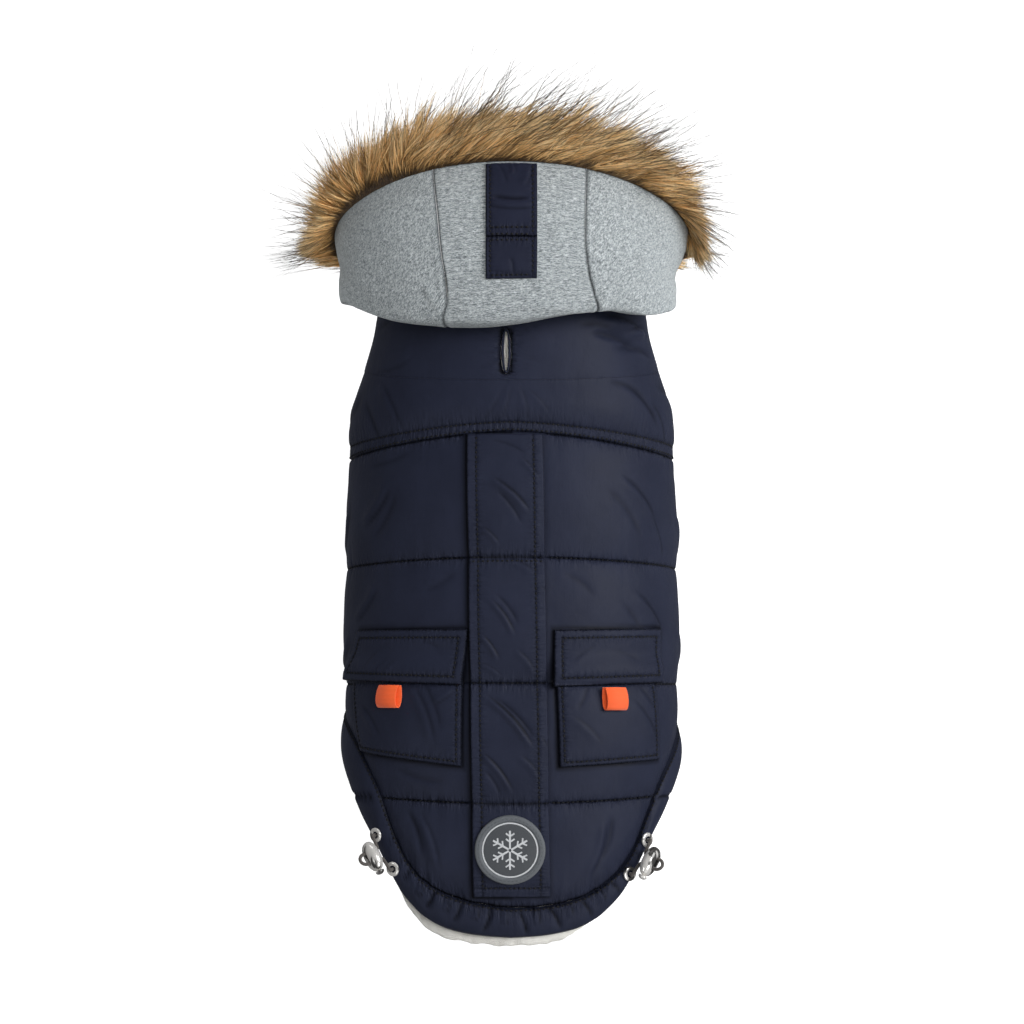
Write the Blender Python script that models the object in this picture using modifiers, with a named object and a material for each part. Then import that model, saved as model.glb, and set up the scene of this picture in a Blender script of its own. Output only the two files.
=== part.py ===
"""Padded dog parka with a fur-trimmed hood, filled out as a standing dog wears it.

The dog faces +Y, its back is up (+Z) and its right side is +X. The origin is on the
lining's inner face at the withers, where the dog holds the coat up. Lengths are in
millimetres until a point is handed to Blender, which gets metres.

The coat is a tube that is cut from one surface: "along" is the distance from the nape
towards the tail, and the angle goes round the body from the top of the back (0) over
the dog's right side (90) to the belly (180). Every panel is a patch of that surface.
"""

import math
from collections import namedtuple

import bmesh
import bpy
from mathutils import Matrix, Vector

MM = 0.001

# Cloth and seams
SEAM_GAP = 0.3
LIE_GAP = 0.6
LINING_GAP = 1.0
SHELL_CLOTH = 2.0
QUILT_LOFT = 4.2
COLLAR_LOFT = 3.8
YOKE_LOFT = 3.4
CHEST_LOFT_SHARE = 0.5
LINING_PILE = 3.0
HOOD_CLOTH = 1.8
PATCH_CLOTH = 1.4

# Lengths along the back, from the nape
NAPE_Y = 80.0
COLLAR_SEAM = 44.0
YOKE_SEAM = 75.0
YOKE_STITCHED_EDGE = 6.0
QUILT_ROWS = (YOKE_SEAM, 150.0, 225.0, 296.0, 370.0)
QUILT_SIDE_LOFT = 0.55
CHEST_ROWS = (COLLAR_SEAM, YOKE_SEAM, 150.0, 225.0, 250.0)
QUILT_PINCH_ANGLE = 14.0
QUILT_PINCH_LENGTH = 18.0

# Angles round the body: every wall has its points on the same lines along it
ANGLE_STEP = 10.0
SIDE_SEAM_ANGLE = 110.0
SEAM_ANGLE_GAP = 0.16

# Openings
LEASH_SLOT_LENGTH = 27.0
LEASH_SLOT_WIDTH = 6.4
LEASH_SLOT_ALONG = 27.0
LEASH_SLOT_ANGLE = -1.5
SLOT_BINDING = 1.7
LEG_HOLE_ALONG = 90.0
LEG_HOLE_ANGLE = 143.0
LEG_HOLE_LENGTH = 58.0
LEG_HOLE_WIDTH = 46.0

# Trim and hardware
PLACKET_WIDTH = 44.8
PLACKET_END = 350.5
BADGE_RADIUS = 20.0
BADGE_ALONG = 322.0
BADGE_ACROSS = -0.8
RIBBON_WIDTH = 14.0
RIBBON_DROP = 14.0
RIBBON_HALF_DEPTH = 1.9
RIBBON_CLOTH = 0.8
EYELET_RADIUS = 4.4
EYELET_HOLE_RADIUS = 2.1
CORD_DIAMETER = 2.0
LOCK_LENGTH = 18.5
LOCK_DEPTH = 12.0
LOCK_THICKNESS = 8.5
LOCK_STAND_OFF = 8.8
CORD_LOOP_REACH = 4.0

Station = namedtuple("Station", "along half_width back_z height lean")
STATIONS = (
    Station(0.0, 77.0, 17.0, 104.0, 25.0),
    Station(22.0, 80.0, 13.0, 113.0, 20.0),
    Station(44.0, 88.0, 9.5, 124.0, 14.0),
    Station(60.0, 95.5, 7.4, 132.0, 9.0),
    Station(80.0, 101.0, 5.4, 140.0, 5.0),
    Station(115.0, 101.5, 3.4, 147.0, 1.0),
    Station(160.0, 102.5, 1.8, 146.0, 0.0),
    Station(225.0, 102.0, 0.0, 136.0, 0.0),
    Station(265.0, 101.0, -1.5, 127.0, 0.0),
    Station(300.0, 97.0, -3.5, 118.0, 0.0),
    Station(345.0, 91.0, -7.0, 107.0, 0.0),
    Station(392.0, 86.0, -12.0, 98.0, 0.0),
)
SECTION_ROUNDNESS = 0.89

# How far a seam that is level over the back slides towards the tail at the side
Droop = namedtuple("Droop", "along side")
DROOPS = (
    Droop(0.0, 0.0),
    Droop(44.0, 0.0),
    Droop(75.0, 13.5),
    Droop(150.0, 3.5),
    Droop(225.0, 1.0),
    Droop(296.0, -3.0),
    Droop(400.0, 0.0),
)

# The tail hem, from the top of the back round to the belly
# Skew is what the seam gains on the right side and loses on the left
Hem = namedtuple("Hem", "angle seam edge skew")
HEM = (
    Hem(0.0, 357.0, 375.2, 0.0),
    Hem(10.0, 355.4, 374.0, 0.8),
    Hem(22.0, 351.0, 370.6, 1.4),
    Hem(32.0, 343.5, 364.2, 2.5),
    Hem(38.0, 336.0, 357.6, 4.0),
    Hem(43.0, 326.0, 350.6, 7.0),
    Hem(48.0, 312.0, 340.5, 11.0),
    Hem(52.0, 298.5, 331.5, 12.0),
    Hem(57.0, 285.0, 321.0, 11.0),
    Hem(64.0, 271.0, 309.5, 9.0),
    Hem(77.0, 257.0, 290.0, 7.0),
    Hem(90.0, 249.0, 276.5, 5.0),
    Hem(120.0, 228.0, 252.0, 2.0),
    Hem(150.0, 209.0, 233.0, 0.0),
    Hem(180.0, 203.0, 227.0, 0.0),
)
HEM_LOFT = 4.6
HEM_ROWS = 4
GATHER_SPREAD = 70.0
GATHER_PITCH = 8.0
GATHER_SAMPLES = 4
GATHER_DEPTH = 0.7
HEM_CUT_FROM = -2.5
HEM_CUT_TO = 9.5
LINING_ROWS = (1.5, 22.0, 44.0, 60.0, 80.0, 115.0, 165.0)
PEEP_AT_TAIL = 4.6
PEEP_AT_SIDE = -1.5
PEEP_MIDDLE_ANGLE = -6.0
PEEP_HALF_ANGLE = 24.0
PEEP_FADE_ANGLE = 18.0

# The hood, ring by ring from the neck seam to the face opening
HoodRing = namedtuple("HoodRing", "share half_width y_top y_side y_throat z_top z_throat")
HOOD_RINGS = (
    HoodRing(0.06, 80.5, 82.5, 107.5, 127.5, 25.0, -80.0),
    HoodRing(0.12, 88.0, 74.5, 103.0, 127.5, 31.0, -83.0),
    HoodRing(0.21, 95.5, 64.0, 94.0, 127.5, 36.0, -85.0),
    HoodRing(0.32, 102.0, 65.0, 92.0, 127.5, 44.0, -86.0),
    HoodRing(0.46, 105.0, 82.0, 98.0, 127.0, 52.0, -85.0),
    HoodRing(0.64, 105.5, 108.0, 109.0, 127.0, 57.0, -82.0),
    HoodRing(0.82, 106.0, 133.0, 119.0, 125.0, 57.0, -77.0),
    HoodRing(1.00, 107.0, 156.5, 126.0, 121.0, 53.0, -72.0),
)
HOOD_NECK_CLEARANCE = 2.4
HOOD_ROUNDNESS = 0.92
HOOD_SKEW = 2.6
HOOD_RIGHT_TUCK = 3.0
HOOD_ROWS = 12
HOOD_SEAM_ANGLE = 22.5
HOOD_END_ANGLE = 148.0
HOOD_CORNER = 34.0
HOOD_CORNER_CUT = 0.42
STRAP_WIDTH = 29.5
STRAP_START_SHARE = 0.985
STRAP_JOIN_SHARE = 0.66
STRAP_END_SHARE = 0.475
STRAP_JOIN_GAP = 0.006

# The fur stands on the hood's rim, in a leaf-shaped section
FUR_LENGTH_TOP = 45.0
FUR_LENGTH_SIDE = 39.0
FUR_HALF_DEPTH = 15.0
FUR_ROOT_HALF_DEPTH = 3.0
FUR_ROOT_GAP_TOP = 0.6
FUR_ROOT_GAP_THROAT = 3.4
FUR_END = 0.97
FACE_CENTRE_Z = -8.0
FORWARD = Vector((0.0, 1.0, 0.0))
FUR_LEAN_TOP = 22.0
FUR_LEAN_SIDE = 58.0
FUR_TUFTS = 19
FUR_TUFT_SAMPLES = 4
FUR_TUFT_DEPTH = 0.09
FurRow = namedtuple("FurRow", "out across")
FUR_SECTION = (
    FurRow(0.10, -0.55),
    FurRow(0.42, -1.00),
    FurRow(0.78, -0.62),
    FurRow(1.00, 0.0),
    FurRow(0.84, 0.55),
    FurRow(0.46, 1.00),
    FurRow(0.14, 0.62),
)

Look = namedtuple("Look", "red green blue roughness metallic")
NAVY = Look(0.020, 0.026, 0.050, 0.42, 0.0)
NAVY_WEBBING = Look(0.017, 0.021, 0.040, 0.55, 0.0)
GREY_JERSEY = Look(0.36, 0.39, 0.41, 0.90, 0.0)
SHERPA = Look(0.82, 0.81, 0.77, 0.95, 0.0)
FUR = Look(0.36, 0.22, 0.11, 0.80, 0.0)
ORANGE = Look(0.90, 0.16, 0.03, 0.60, 0.0)
RUBBER = Look(0.11, 0.12, 0.13, 0.55, 0.0)
METAL = Look(0.70, 0.68, 0.64, 0.22, 1.0)
ELASTIC = Look(0.10, 0.085, 0.075, 0.75, 0.0)


def clear_scene():
    for obj in list(bpy.data.objects):
        bpy.data.objects.remove(obj)


def new_collection(name):
    collection = bpy.data.collections.new(name)
    bpy.context.scene.collection.children.link(collection)
    return collection


def material(name, look):
    mat = bpy.data.materials.new(name)
    mat.use_nodes = True
    shader = mat.node_tree.nodes["Principled BSDF"]
    shader.inputs["Base Color"].default_value = (look.red, look.green, look.blue, 1.0)
    shader.inputs["Roughness"].default_value = look.roughness
    shader.inputs["Metallic"].default_value = look.metallic
    return mat


def between(start, end, share):
    return start + (end - start) * share


def signed_power(value, power):
    return math.copysign(abs(value) ** power, value)


def pillow(share, power=0.55):
    """A padded tube's height across its width: 0 at both seams and 1 in the middle."""
    return max(0.0, math.sin(math.pi * min(max(share, 0.0), 1.0))) ** power


def from_top(angle):
    """The angle from the top of the back, from 0 to 180."""
    return abs((angle + 180.0) % 360.0 - 180.0)


def curve_through(rows, key, column, value):
    """A smooth value read from a table of named columns, without overshoot."""
    keys = [getattr(row, key) for row in rows]
    values = [getattr(row, column) for row in rows]
    value = min(max(value, keys[0]), keys[-1])
    last = len(keys) - 2
    at = max(i for i in range(last + 1) if keys[i] <= value)
    slopes = [(b - a) / (kb - ka)
              for a, b, ka, kb in zip(values, values[1:], keys, keys[1:])]

    def tangent(i):
        before, after = slopes[max(i - 1, 0)], slopes[min(i, last)]
        if before * after <= 0:
            return 0.0
        return 2 * before * after / (before + after)

    span = keys[at + 1] - keys[at]
    t = (value - keys[at]) / span
    return (
        (1 + 2 * t) * (1 - t) ** 2 * values[at]
        + t * (1 - t) ** 2 * span * tangent(at)
        + t * t * (3 - 2 * t) * values[at + 1]
        + t * t * (t - 1) * span * tangent(at + 1)
    )


ORIGIN_HEIGHT = (curve_through(STATIONS, "along", "back_z", NAPE_Y)
                 - LINING_GAP - LINING_PILE)


def base_point(angle, along):
    """A point of the coat's surface, on the inner face of the shell cloth."""
    half_width = curve_through(STATIONS, "along", "half_width", along)
    height = curve_through(STATIONS, "along", "height", along)
    back_z = curve_through(STATIONS, "along", "back_z", along)
    lean = math.radians(curve_through(STATIONS, "along", "lean", along))
    turn = math.radians(angle)
    x = half_width * signed_power(math.sin(turn), SECTION_ROUNDNESS)
    drop = height / 2 * (1 - signed_power(math.cos(turn), SECTION_ROUNDNESS))
    z = back_z - ORIGIN_HEIGHT - drop * math.cos(lean)
    return Vector((x, NAPE_Y - along + drop * math.sin(lean), z))


def coat_point(angle, along, lift=0.0):
    """A point that stands off the coat's surface by lift."""
    step_angle, step_along = 1.5, 1.5
    round_it = base_point(angle + step_angle, along) - base_point(angle - step_angle, along)
    down_it = base_point(angle, along + step_along) - base_point(angle, along - step_along)
    normal = down_it.cross(round_it).normalized()
    return base_point(angle, along) + normal * lift


def outward_at(angle, along):
    return (coat_point(angle, along, 1.0) - coat_point(angle, along)).normalized()


def tailward_at(angle, along):
    return (coat_point(angle, along + 1.0) - coat_point(angle, along - 1.0)).normalized()


def row_along(angle, row):
    """Where a seam row lies at this angle: level on top, drooping at the sides."""
    droop = curve_through(DROOPS, "along", "side", row)
    return row + droop * abs(math.sin(math.radians(angle))) ** 1.4


def row_of(angle, along):
    """The seam row that passes through a place on the coat."""
    row = along
    for _ in range(4):
        row -= row_along(angle, row) - along
    return row


def hem_edge(angle):
    return curve_through(HEM, "angle", "edge", from_top(angle))


def hem_seam(angle):
    aside = from_top(angle)
    skew = math.copysign(curve_through(HEM, "angle", "skew", aside),
                         math.sin(math.radians(angle)))
    return curve_through(HEM, "angle", "seam", aside) + skew


def pinch(distance, length):
    return math.sqrt(min(max(distance / length, 0.0), 1.0))


def quilt_top(angle, along):
    """How far the quilted back stands off the surface, pinched at its seams."""
    row = row_of(angle, along)
    loft = 0.0
    for start, end in zip(QUILT_ROWS, QUILT_ROWS[1:]):
        if start <= row <= end:
            loft = QUILT_LOFT * pillow((row - start) / (end - start))
    loft *= between(1.0, QUILT_SIDE_LOFT, math.sin(math.radians(angle)) ** 2)
    loft *= pinch(SIDE_SEAM_ANGLE - from_top(angle), QUILT_PINCH_ANGLE)
    loft *= pinch(hem_seam(angle) - along, QUILT_PINCH_LENGTH)
    return SHELL_CLOTH + loft


def hem_top(angle, along):
    """How far the hem band stands off the surface, without its gathers."""
    seam, edge = hem_seam(angle), hem_edge(angle)
    share = (along - seam) / (edge - seam)
    return SHELL_CLOTH * 0.9 + HEM_LOFT * pillow(0.06 + 0.90 * share, 0.6)


def angle_across(across, along):
    """The angle of a point that lies a distance across the back from the spine."""
    angle, walked, step = 0.0, 0.0, 2.0
    while walked < abs(across):
        stride = (base_point(angle + step, along) - base_point(angle, along)).length
        share = min(1.0, (abs(across) - walked) / stride)
        angle += step * share
        walked += stride * share
        if share < 1.0:
            break
    return math.copysign(angle, across)


def add_object(name, data, mat, collection):
    obj = bpy.data.objects.new(name, data)
    collection.objects.link(obj)
    obj.data.materials.append(mat)
    return obj


def finish_mesh(bm, name, crease=40.0):
    bm.normal_update()
    bmesh.ops.recalc_face_normals(bm, faces=bm.faces[:])
    mesh = bpy.data.meshes.new(name)
    bm.to_mesh(mesh)
    bm.free()
    mesh.shade_smooth()
    mesh.set_sharp_from_angle(angle=math.radians(crease))
    return mesh


def wall(name, us, vs, inner, outer, mat, collection, ring=False):
    """A closed wall of cloth. inner and outer give a point for each pair of shares."""
    bm = bmesh.new()
    sides = []
    for point in (inner, outer):
        sides.append([[bm.verts.new(point(u, v) * MM) for u in us] for v in vs])
    count = len(us)
    across = count if ring else count - 1
    for flip, grid in enumerate(sides):
        for low, high in zip(grid, grid[1:]):
            for i in range(across):
                j = (i + 1) % count
                quad = (low[i], low[j], high[j], high[i])
                bm.faces.new(quad[::-1] if flip else quad)
    under, over = sides
    for row in (0, -1):
        for i in range(across):
            j = (i + 1) % count
            bm.faces.new((under[row][i], under[row][j], over[row][j], over[row][i]))
    if not ring:
        for column in (0, -1):
            for low, high, low_over, high_over in zip(under, under[1:], over, over[1:]):
                bm.faces.new((low[column], high[column], high_over[column], low_over[column]))
    return add_object(name, finish_mesh(bm, name), mat, collection)


def even(count, closed=True):
    """Even shares from 0 to 1, with the last left out where the wall is a ring."""
    last = count if closed else count - 1
    return [i / count for i in range(last + 1)]


def angles_round():
    return [i * ANGLE_STEP for i in range(round(360.0 / ANGLE_STEP))]


def angles_between(first, last):
    """The shared lines from first to last, with the two ends drawn in by the seam gap."""
    steps = round((last - first) / ANGLE_STEP)
    angles = [first + i * ANGLE_STEP for i in range(steps + 1)]
    angles[0] += SEAM_ANGLE_GAP
    angles[-1] -= SEAM_ANGLE_GAP
    return angles


def rows_between(rows, per_band, first_gap=0.0, last_gap=0.0):
    found = [between(start, end, i / per_band)
             for start, end in zip(rows, rows[1:]) for i in range(per_band)]
    found.append(rows[-1])
    found[0] += first_gap
    found[-1] -= last_gap
    return found


def surface(lift, along_of=None):
    """A function that gives the coat's point at an angle and a row, at that lift."""
    def point(angle, row):
        along = along_of(angle, row) if along_of else row
        return coat_point(angle, along, lift(angle, along) if callable(lift) else lift)
    return point


def cut(obj, cutter):
    modifier = obj.modifiers.new("cut", "BOOLEAN")
    modifier.operation = "DIFFERENCE"
    modifier.object = cutter


def as_cutter(obj):
    obj.hide_render = True
    obj.display_type = "WIRE"
    return obj


def collar_top(_angle, along):
    return SHELL_CLOTH + COLLAR_LOFT * pillow(along / COLLAR_SEAM, 0.5)


def make_collar(mats, parts, slot_cutter):
    rows = rows_between((0.0, COLLAR_SEAM), 5, last_gap=SEAM_GAP)
    collar = wall("collar", angles_round(), rows, surface(0.0), surface(collar_top),
                  mats["navy"], parts, ring=True)
    cut(collar, slot_cutter)


def make_slot_binding(mats, parts):
    """The piping that binds the leash slot's edge."""
    sides, section = 24, 5
    middle = LEASH_SLOT_WIDTH / 2 - 1.5 * SEAM_GAP - SLOT_BINDING / 2
    straight = LEASH_SLOT_LENGTH / 2 - LEASH_SLOT_WIDTH / 2
    centre = base_point(LEASH_SLOT_ANGLE, LEASH_SLOT_ALONG).x
    bm = bmesh.new()
    loops = []
    for i in range(sides):
        turn = 2 * math.pi * i / sides
        loop = []
        for k in range(section):
            roll = 2 * math.pi * k / section
            reach = middle + SLOT_BINDING / 2 * math.cos(roll)
            across = centre + reach * math.sin(turn)
            along = LEASH_SLOT_ALONG + reach * math.cos(turn) + math.copysign(
                straight, math.cos(turn))
            angle = angle_across(across, along)
            lift = collar_top(angle, along) + 0.5 * SLOT_BINDING * math.sin(roll)
            loop.append(bm.verts.new(coat_point(angle, along, lift) * MM))
        loops.append(loop)
    for a, b in zip(loops, [*loops[1:], loops[0]]):
        for k in range(section):
            j = (k + 1) % section
            bm.faces.new((a[k], a[j], b[j], b[k]))
    add_object("leash_slot_binding", finish_mesh(bm, "binding", 60.0), mats["webbing"], parts)


def yoke_top(angle, along):
    row = row_of(angle, along)
    share = (row - COLLAR_SEAM) / (YOKE_SEAM - YOKE_STITCHED_EDGE - COLLAR_SEAM)
    side = pinch(SIDE_SEAM_ANGLE - from_top(angle), QUILT_PINCH_ANGLE)
    return SHELL_CLOTH + YOKE_LOFT * pillow(share, 0.5) * side


def make_yoke(mats, parts):
    stitched = YOKE_SEAM - YOKE_STITCHED_EDGE
    rows = rows_between((COLLAR_SEAM, stitched), 4)
    rows.append(YOKE_SEAM - SEAM_GAP)
    wall("yoke", angles_between(-SIDE_SEAM_ANGLE, SIDE_SEAM_ANGLE), rows,
         surface(0.0, row_along), surface(yoke_top, row_along), mats["navy"], parts)


def make_back(mats, parts, hem_cutter):
    back = wall("back_panel", angles_between(-SIDE_SEAM_ANGLE, SIDE_SEAM_ANGLE),
                rows_between(QUILT_ROWS, 4), surface(0.0, row_along),
                surface(quilt_top, row_along), mats["navy"], parts)
    cut(back, hem_cutter)


def chest_top(angle, along):
    row = row_of(angle, along)
    loft = 0.0
    for start, end in zip(CHEST_ROWS, CHEST_ROWS[1:]):
        if start <= row <= end:
            loft = QUILT_LOFT * CHEST_LOFT_SHARE * pillow((row - start) / (end - start))
    side = pinch(from_top(angle) - SIDE_SEAM_ANGLE, QUILT_PINCH_ANGLE)
    return SHELL_CLOTH + loft * side * pinch(hem_seam(angle) - along, QUILT_PINCH_LENGTH)


def make_chest(mats, parts, hem_cutter, leg_cutters):
    chest = wall("chest_panel", angles_between(SIDE_SEAM_ANGLE, 360.0 - SIDE_SEAM_ANGLE),
                 rows_between(CHEST_ROWS, 3), surface(0.0, row_along),
                 surface(chest_top, row_along), mats["navy"], parts)
    cut(chest, hem_cutter)
    for cutter in leg_cutters:
        cut(chest, cutter)


def hem_angles():
    """The shared lines, with more of them between where the tail hem is gathered."""
    angles = []
    for angle in angles_round():
        angles.append(angle)
        if from_top(angle + ANGLE_STEP / 2) < GATHER_SPREAD:
            fine = round(ANGLE_STEP * GATHER_SAMPLES / GATHER_PITCH)
            angles += [angle + ANGLE_STEP * i / fine for i in range(1, fine)]
    return angles


def gathered(angle, share):
    """The height that the gathers add: most at the seam, none at the folded edge."""
    around = (angle + 180.0) % 360.0 - 180.0
    fade = pinch(GATHER_SPREAD - abs(around), GATHER_SPREAD) * (1.0 - share)
    uneven = 0.7 + 0.3 * math.cos(math.radians(around * 5.3))
    return GATHER_DEPTH * uneven * fade * math.cos(2 * math.pi * around / GATHER_PITCH)


def hem_along(angle, share):
    return between(hem_seam(angle) + 2 * SEAM_GAP, hem_edge(angle), share)


def make_hem_band(mats, parts):
    def outer(angle, share):
        along = hem_along(angle, share)
        return coat_point(angle, along, hem_top(angle, along) + gathered(angle, share))

    wall("hem_band", hem_angles(), even(HEM_ROWS), surface(0.0, hem_along), outer,
         mats["navy"], parts, ring=True)


def make_lining(mats, parts, leg_cutters, slot_cutter):
    """The pile lining, which peeps out under the tail hem."""
    level = LINING_ROWS[-1]

    def along_of(angle, row):
        if row <= level:
            return row
        past = from_top(angle - PEEP_MIDDLE_ANGLE) - PEEP_HALF_ANGLE
        aside = min(1.0, max(0.0, past / PEEP_FADE_ANGLE))
        peep = between(PEEP_AT_TAIL, PEEP_AT_SIDE, aside)
        return between(level, hem_edge(angle) + peep, row - level)

    rows = [*LINING_ROWS, *(level + share for share in even(4)[1:])]
    lining = wall("lining", angles_round(), rows,
                  surface(-LINING_GAP - LINING_PILE, along_of),
                  surface(-LINING_GAP, along_of), mats["sherpa"], parts, ring=True)
    for cutter in leg_cutters:
        cut(lining, cutter)
    cut(lining, slot_cutter)


def hem_cutter_solid(mats, cutters):
    """Everything past the hem seam, to trim the panels along it."""
    def along_of(angle, share):
        return between(hem_seam(angle), 440.0, share)

    return as_cutter(wall("hem_cutter", hem_angles(), even(2),
                          surface(HEM_CUT_FROM, along_of), surface(HEM_CUT_TO, along_of),
                          mats["navy"], cutters, ring=True))


def stadium_cutter(name, angle, along, length, width, depth, mats, cutters):
    """A plug with round ends that goes through the cloth at a place on the coat."""
    centre = coat_point(angle, along)
    outward, tailward = outward_at(angle, along), tailward_at(angle, along)
    sideways = outward.cross(tailward).normalized()
    straight = (length - width) / 2
    bm = bmesh.new()
    bmesh.ops.create_cone(bm, cap_ends=True, segments=28, radius1=0.5, radius2=0.5, depth=1.0)
    for vert in bm.verts:
        x, y, z = vert.co
        shift = math.copysign(straight, y) if abs(y) > 1e-6 else 0.0
        vert.co = (centre + sideways * x * width + tailward * (y * width + shift)
                   + outward * z * depth) * MM
    return as_cutter(add_object(name, finish_mesh(bm, name), mats["navy"], cutters))


def on_back(corners):
    """Shares to a place inside four corners, each given as (across, along)."""
    def place(u, v):
        (ax, ay), (bx, by), (cx, cy), (dx, dy) = corners
        across = between(between(ax, bx, u), between(dx, cx, u), v)
        along = between(between(ay, by, u), between(dy, cy, u), v)
        return angle_across(across, along), along
    return place


def patch(name, corners, rows, columns, mat, collection, stand_off, puff=0.0):
    """Cloth that lies on the quilted back, stood off it by a function of its shares."""
    place = on_back(corners)

    def at(extra):
        def point(u, v):
            angle, along = place(u, v)
            swell = puff * pillow(u, 0.4) * pillow(v, 0.4) if extra else 0.0
            lift = quilt_top(angle, along) + stand_off(v) + extra + swell
            return coat_point(angle, along, lift)
        return point

    return wall(name, even(columns), even(rows), at(0.0), at(PATCH_CLOTH), mat, collection)


def make_placket(mats, parts):
    half = PLACKET_WIDTH / 2
    top, low = -4.0, 0.2
    start = YOKE_SEAM + 1.0
    corners = ((top - half, start), (top + half, start),
               (low + half, PLACKET_END), (low - half, PLACKET_END))
    patch("placket", corners, 32, 4, mats["navy"], parts, lambda v: LIE_GAP)


# Corners are (across, along): upper left, upper right, lower right, lower left
Pocket = namedtuple("Pocket", "side flap bag ribbon_across")
POCKETS = (
    Pocket("left",
           ((-98.5, 193.0), (-25.0, 193.0), (-28.5, 226.0), (-111.5, 223.5)),
           ((-106.0, 222.0), (-28.5, 222.0), (-28.5, 274.0), (-95.5, 266.5)), -69.5),
    Pocket("right",
           ((24.5, 193.5), (94.0, 192.0), (93.0, 225.0), (24.0, 227.0)),
           ((26.0, 223.0), (90.0, 222.0), (91.0, 271.0), (27.5, 274.5)), 59.5),
)
FLAP_RISE = 3.9
BAG_PUFF = 1.5
BAG_GAP = 0.9


def flap_edge_along(pocket):
    """Where the flap's lower edge crosses the ribbon."""
    (_, _), (_, _), (cx, cy), (dx, dy) = pocket.flap
    return between(cy, dy, (pocket.ribbon_across - cx) / (dx - cx))


def make_pockets(mats, parts):
    for pocket in POCKETS:
        patch(f"pocket_bag_{pocket.side}", pocket.bag, 6, 6, mats["navy"], parts,
              lambda v: BAG_GAP, puff=BAG_PUFF)
        patch(f"pocket_flap_{pocket.side}", pocket.flap, 5, 6, mats["navy"], parts,
              lambda v: LIE_GAP + FLAP_RISE * min(1.0, 1.2 * v), puff=0.5)


def make_ribbon_loops(mats, parts):
    """Folded ribbon that hangs in a flattened loop from under each pocket flap."""
    steps = 12
    for pocket in POCKETS:
        start = flap_edge_along(pocket) + 0.6
        middle = start + RIBBON_DROP / 2
        angle = angle_across(pocket.ribbon_across, middle)
        under = quilt_top(angle, middle) + 2 * LIE_GAP + PATCH_CLOTH + BAG_PUFF
        lift = under + RIBBON_HALF_DEPTH + RIBBON_CLOTH / 2 + 0.5
        centre = coat_point(angle, middle, lift)
        outward, tailward = outward_at(angle, middle), tailward_at(angle, middle)
        sideways = tailward.cross(outward).normalized()
        bm = bmesh.new()
        edges = []
        for end in (-0.5, 0.5):
            edge = []
            for i in range(steps):
                turn = math.pi * (0.16 + 1.68 * i / (steps - 1))
                edge.append(bm.verts.new((
                    centre + sideways * end * RIBBON_WIDTH
                    - tailward * RIBBON_DROP / 2 * math.cos(turn)
                    + outward * RIBBON_HALF_DEPTH * math.sin(turn)) * MM))
            edges.append(edge)
        for i in range(steps - 1):
            bm.faces.new((edges[0][i], edges[0][i + 1], edges[1][i + 1], edges[1][i]))
        loop = add_object(f"ribbon_loop_{pocket.side}", finish_mesh(bm, "ribbon"),
                          mats["orange"], parts)
        solid = loop.modifiers.new("ribbon", "SOLIDIFY")
        solid.thickness = RIBBON_CLOTH * MM
        solid.offset = 0.0


BadgeRing = namedtuple("BadgeRing", "share lift")
BADGE_RINGS = (
    BadgeRing(0.0, 1.4),
    BadgeRing(0.55, 1.4),
    BadgeRing(0.83, 1.4),
    BadgeRing(0.87, 2.0),
    BadgeRing(0.95, 2.0),
    BadgeRing(1.0, 1.2),
)
BADGE_SIDES = 24


def make_badge(mats, parts):
    """A round rubber badge with a raised rim, bent to the placket that it lies on."""
    floor = PATCH_CLOTH + 2 * LIE_GAP

    def point(share, turn, lift):
        across = BADGE_ACROSS + BADGE_RADIUS * share * math.sin(turn)
        along = BADGE_ALONG + BADGE_RADIUS * share * math.cos(turn)
        angle = angle_across(across, along)
        return coat_point(angle, along, quilt_top(angle, along) + floor + lift) * MM

    bm = bmesh.new()
    rims = []
    for lifted in (False, True):
        lifts = [ring.lift if lifted else 0.0 for ring in BADGE_RINGS]
        centre = bm.verts.new(point(0.0, 0.0, lifts[0]))
        loops = [[bm.verts.new(point(ring.share, 2 * math.pi * i / BADGE_SIDES, lift))
                  for i in range(BADGE_SIDES)]
                 for ring, lift in list(zip(BADGE_RINGS, lifts))[1:]]
        for i in range(BADGE_SIDES):
            j = (i + 1) % BADGE_SIDES
            bm.faces.new((centre, loops[0][i], loops[0][j]))
            for a, b in zip(loops, loops[1:]):
                bm.faces.new((a[i], b[i], b[j], a[j]))
        rims.append(loops[-1])
    for i in range(BADGE_SIDES):
        j = (i + 1) % BADGE_SIDES
        bm.faces.new((rims[0][i], rims[0][j], rims[1][j], rims[1][i]))
    add_object("badge", finish_mesh(bm, "badge", 30.0), mats["rubber"], parts)


def hood_value(share, column):
    return curve_through(HOOD_RINGS, "share", column, share)


def hood_bare(angle, share):
    """A point of the hood's inner face: angle 0 is its top, share runs to the face."""
    share = min(max(share, 0.0), 1.0)
    turn = math.radians(angle)
    side, up = math.sin(turn), math.cos(turn)
    top, mid, low = (hood_value(share, c) for c in ("y_top", "y_side", "y_throat"))
    y = mid + (top - low) / 2 * up + ((top + low) / 2 - mid) * up * up
    z_top, z_throat = hood_value(share, "z_top"), hood_value(share, "z_throat")
    z = between(z_throat, z_top, 0.5 + 0.5 * signed_power(up, 0.85))
    y += HOOD_SKEW * side * pillow(share / 0.6, 1.0)
    x = hood_value(share, "half_width") * signed_power(side, HOOD_ROUNDNESS)
    x -= HOOD_RIGHT_TUCK * max(0.0, side) * pillow(share / 0.6, 1.0)
    leave = min(1.0, share / HOOD_RINGS[0].share)
    return base_point(angle, -HOOD_NECK_CLEARANCE).lerp(
        Vector((x, y, z - ORIGIN_HEIGHT)), leave)


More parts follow.
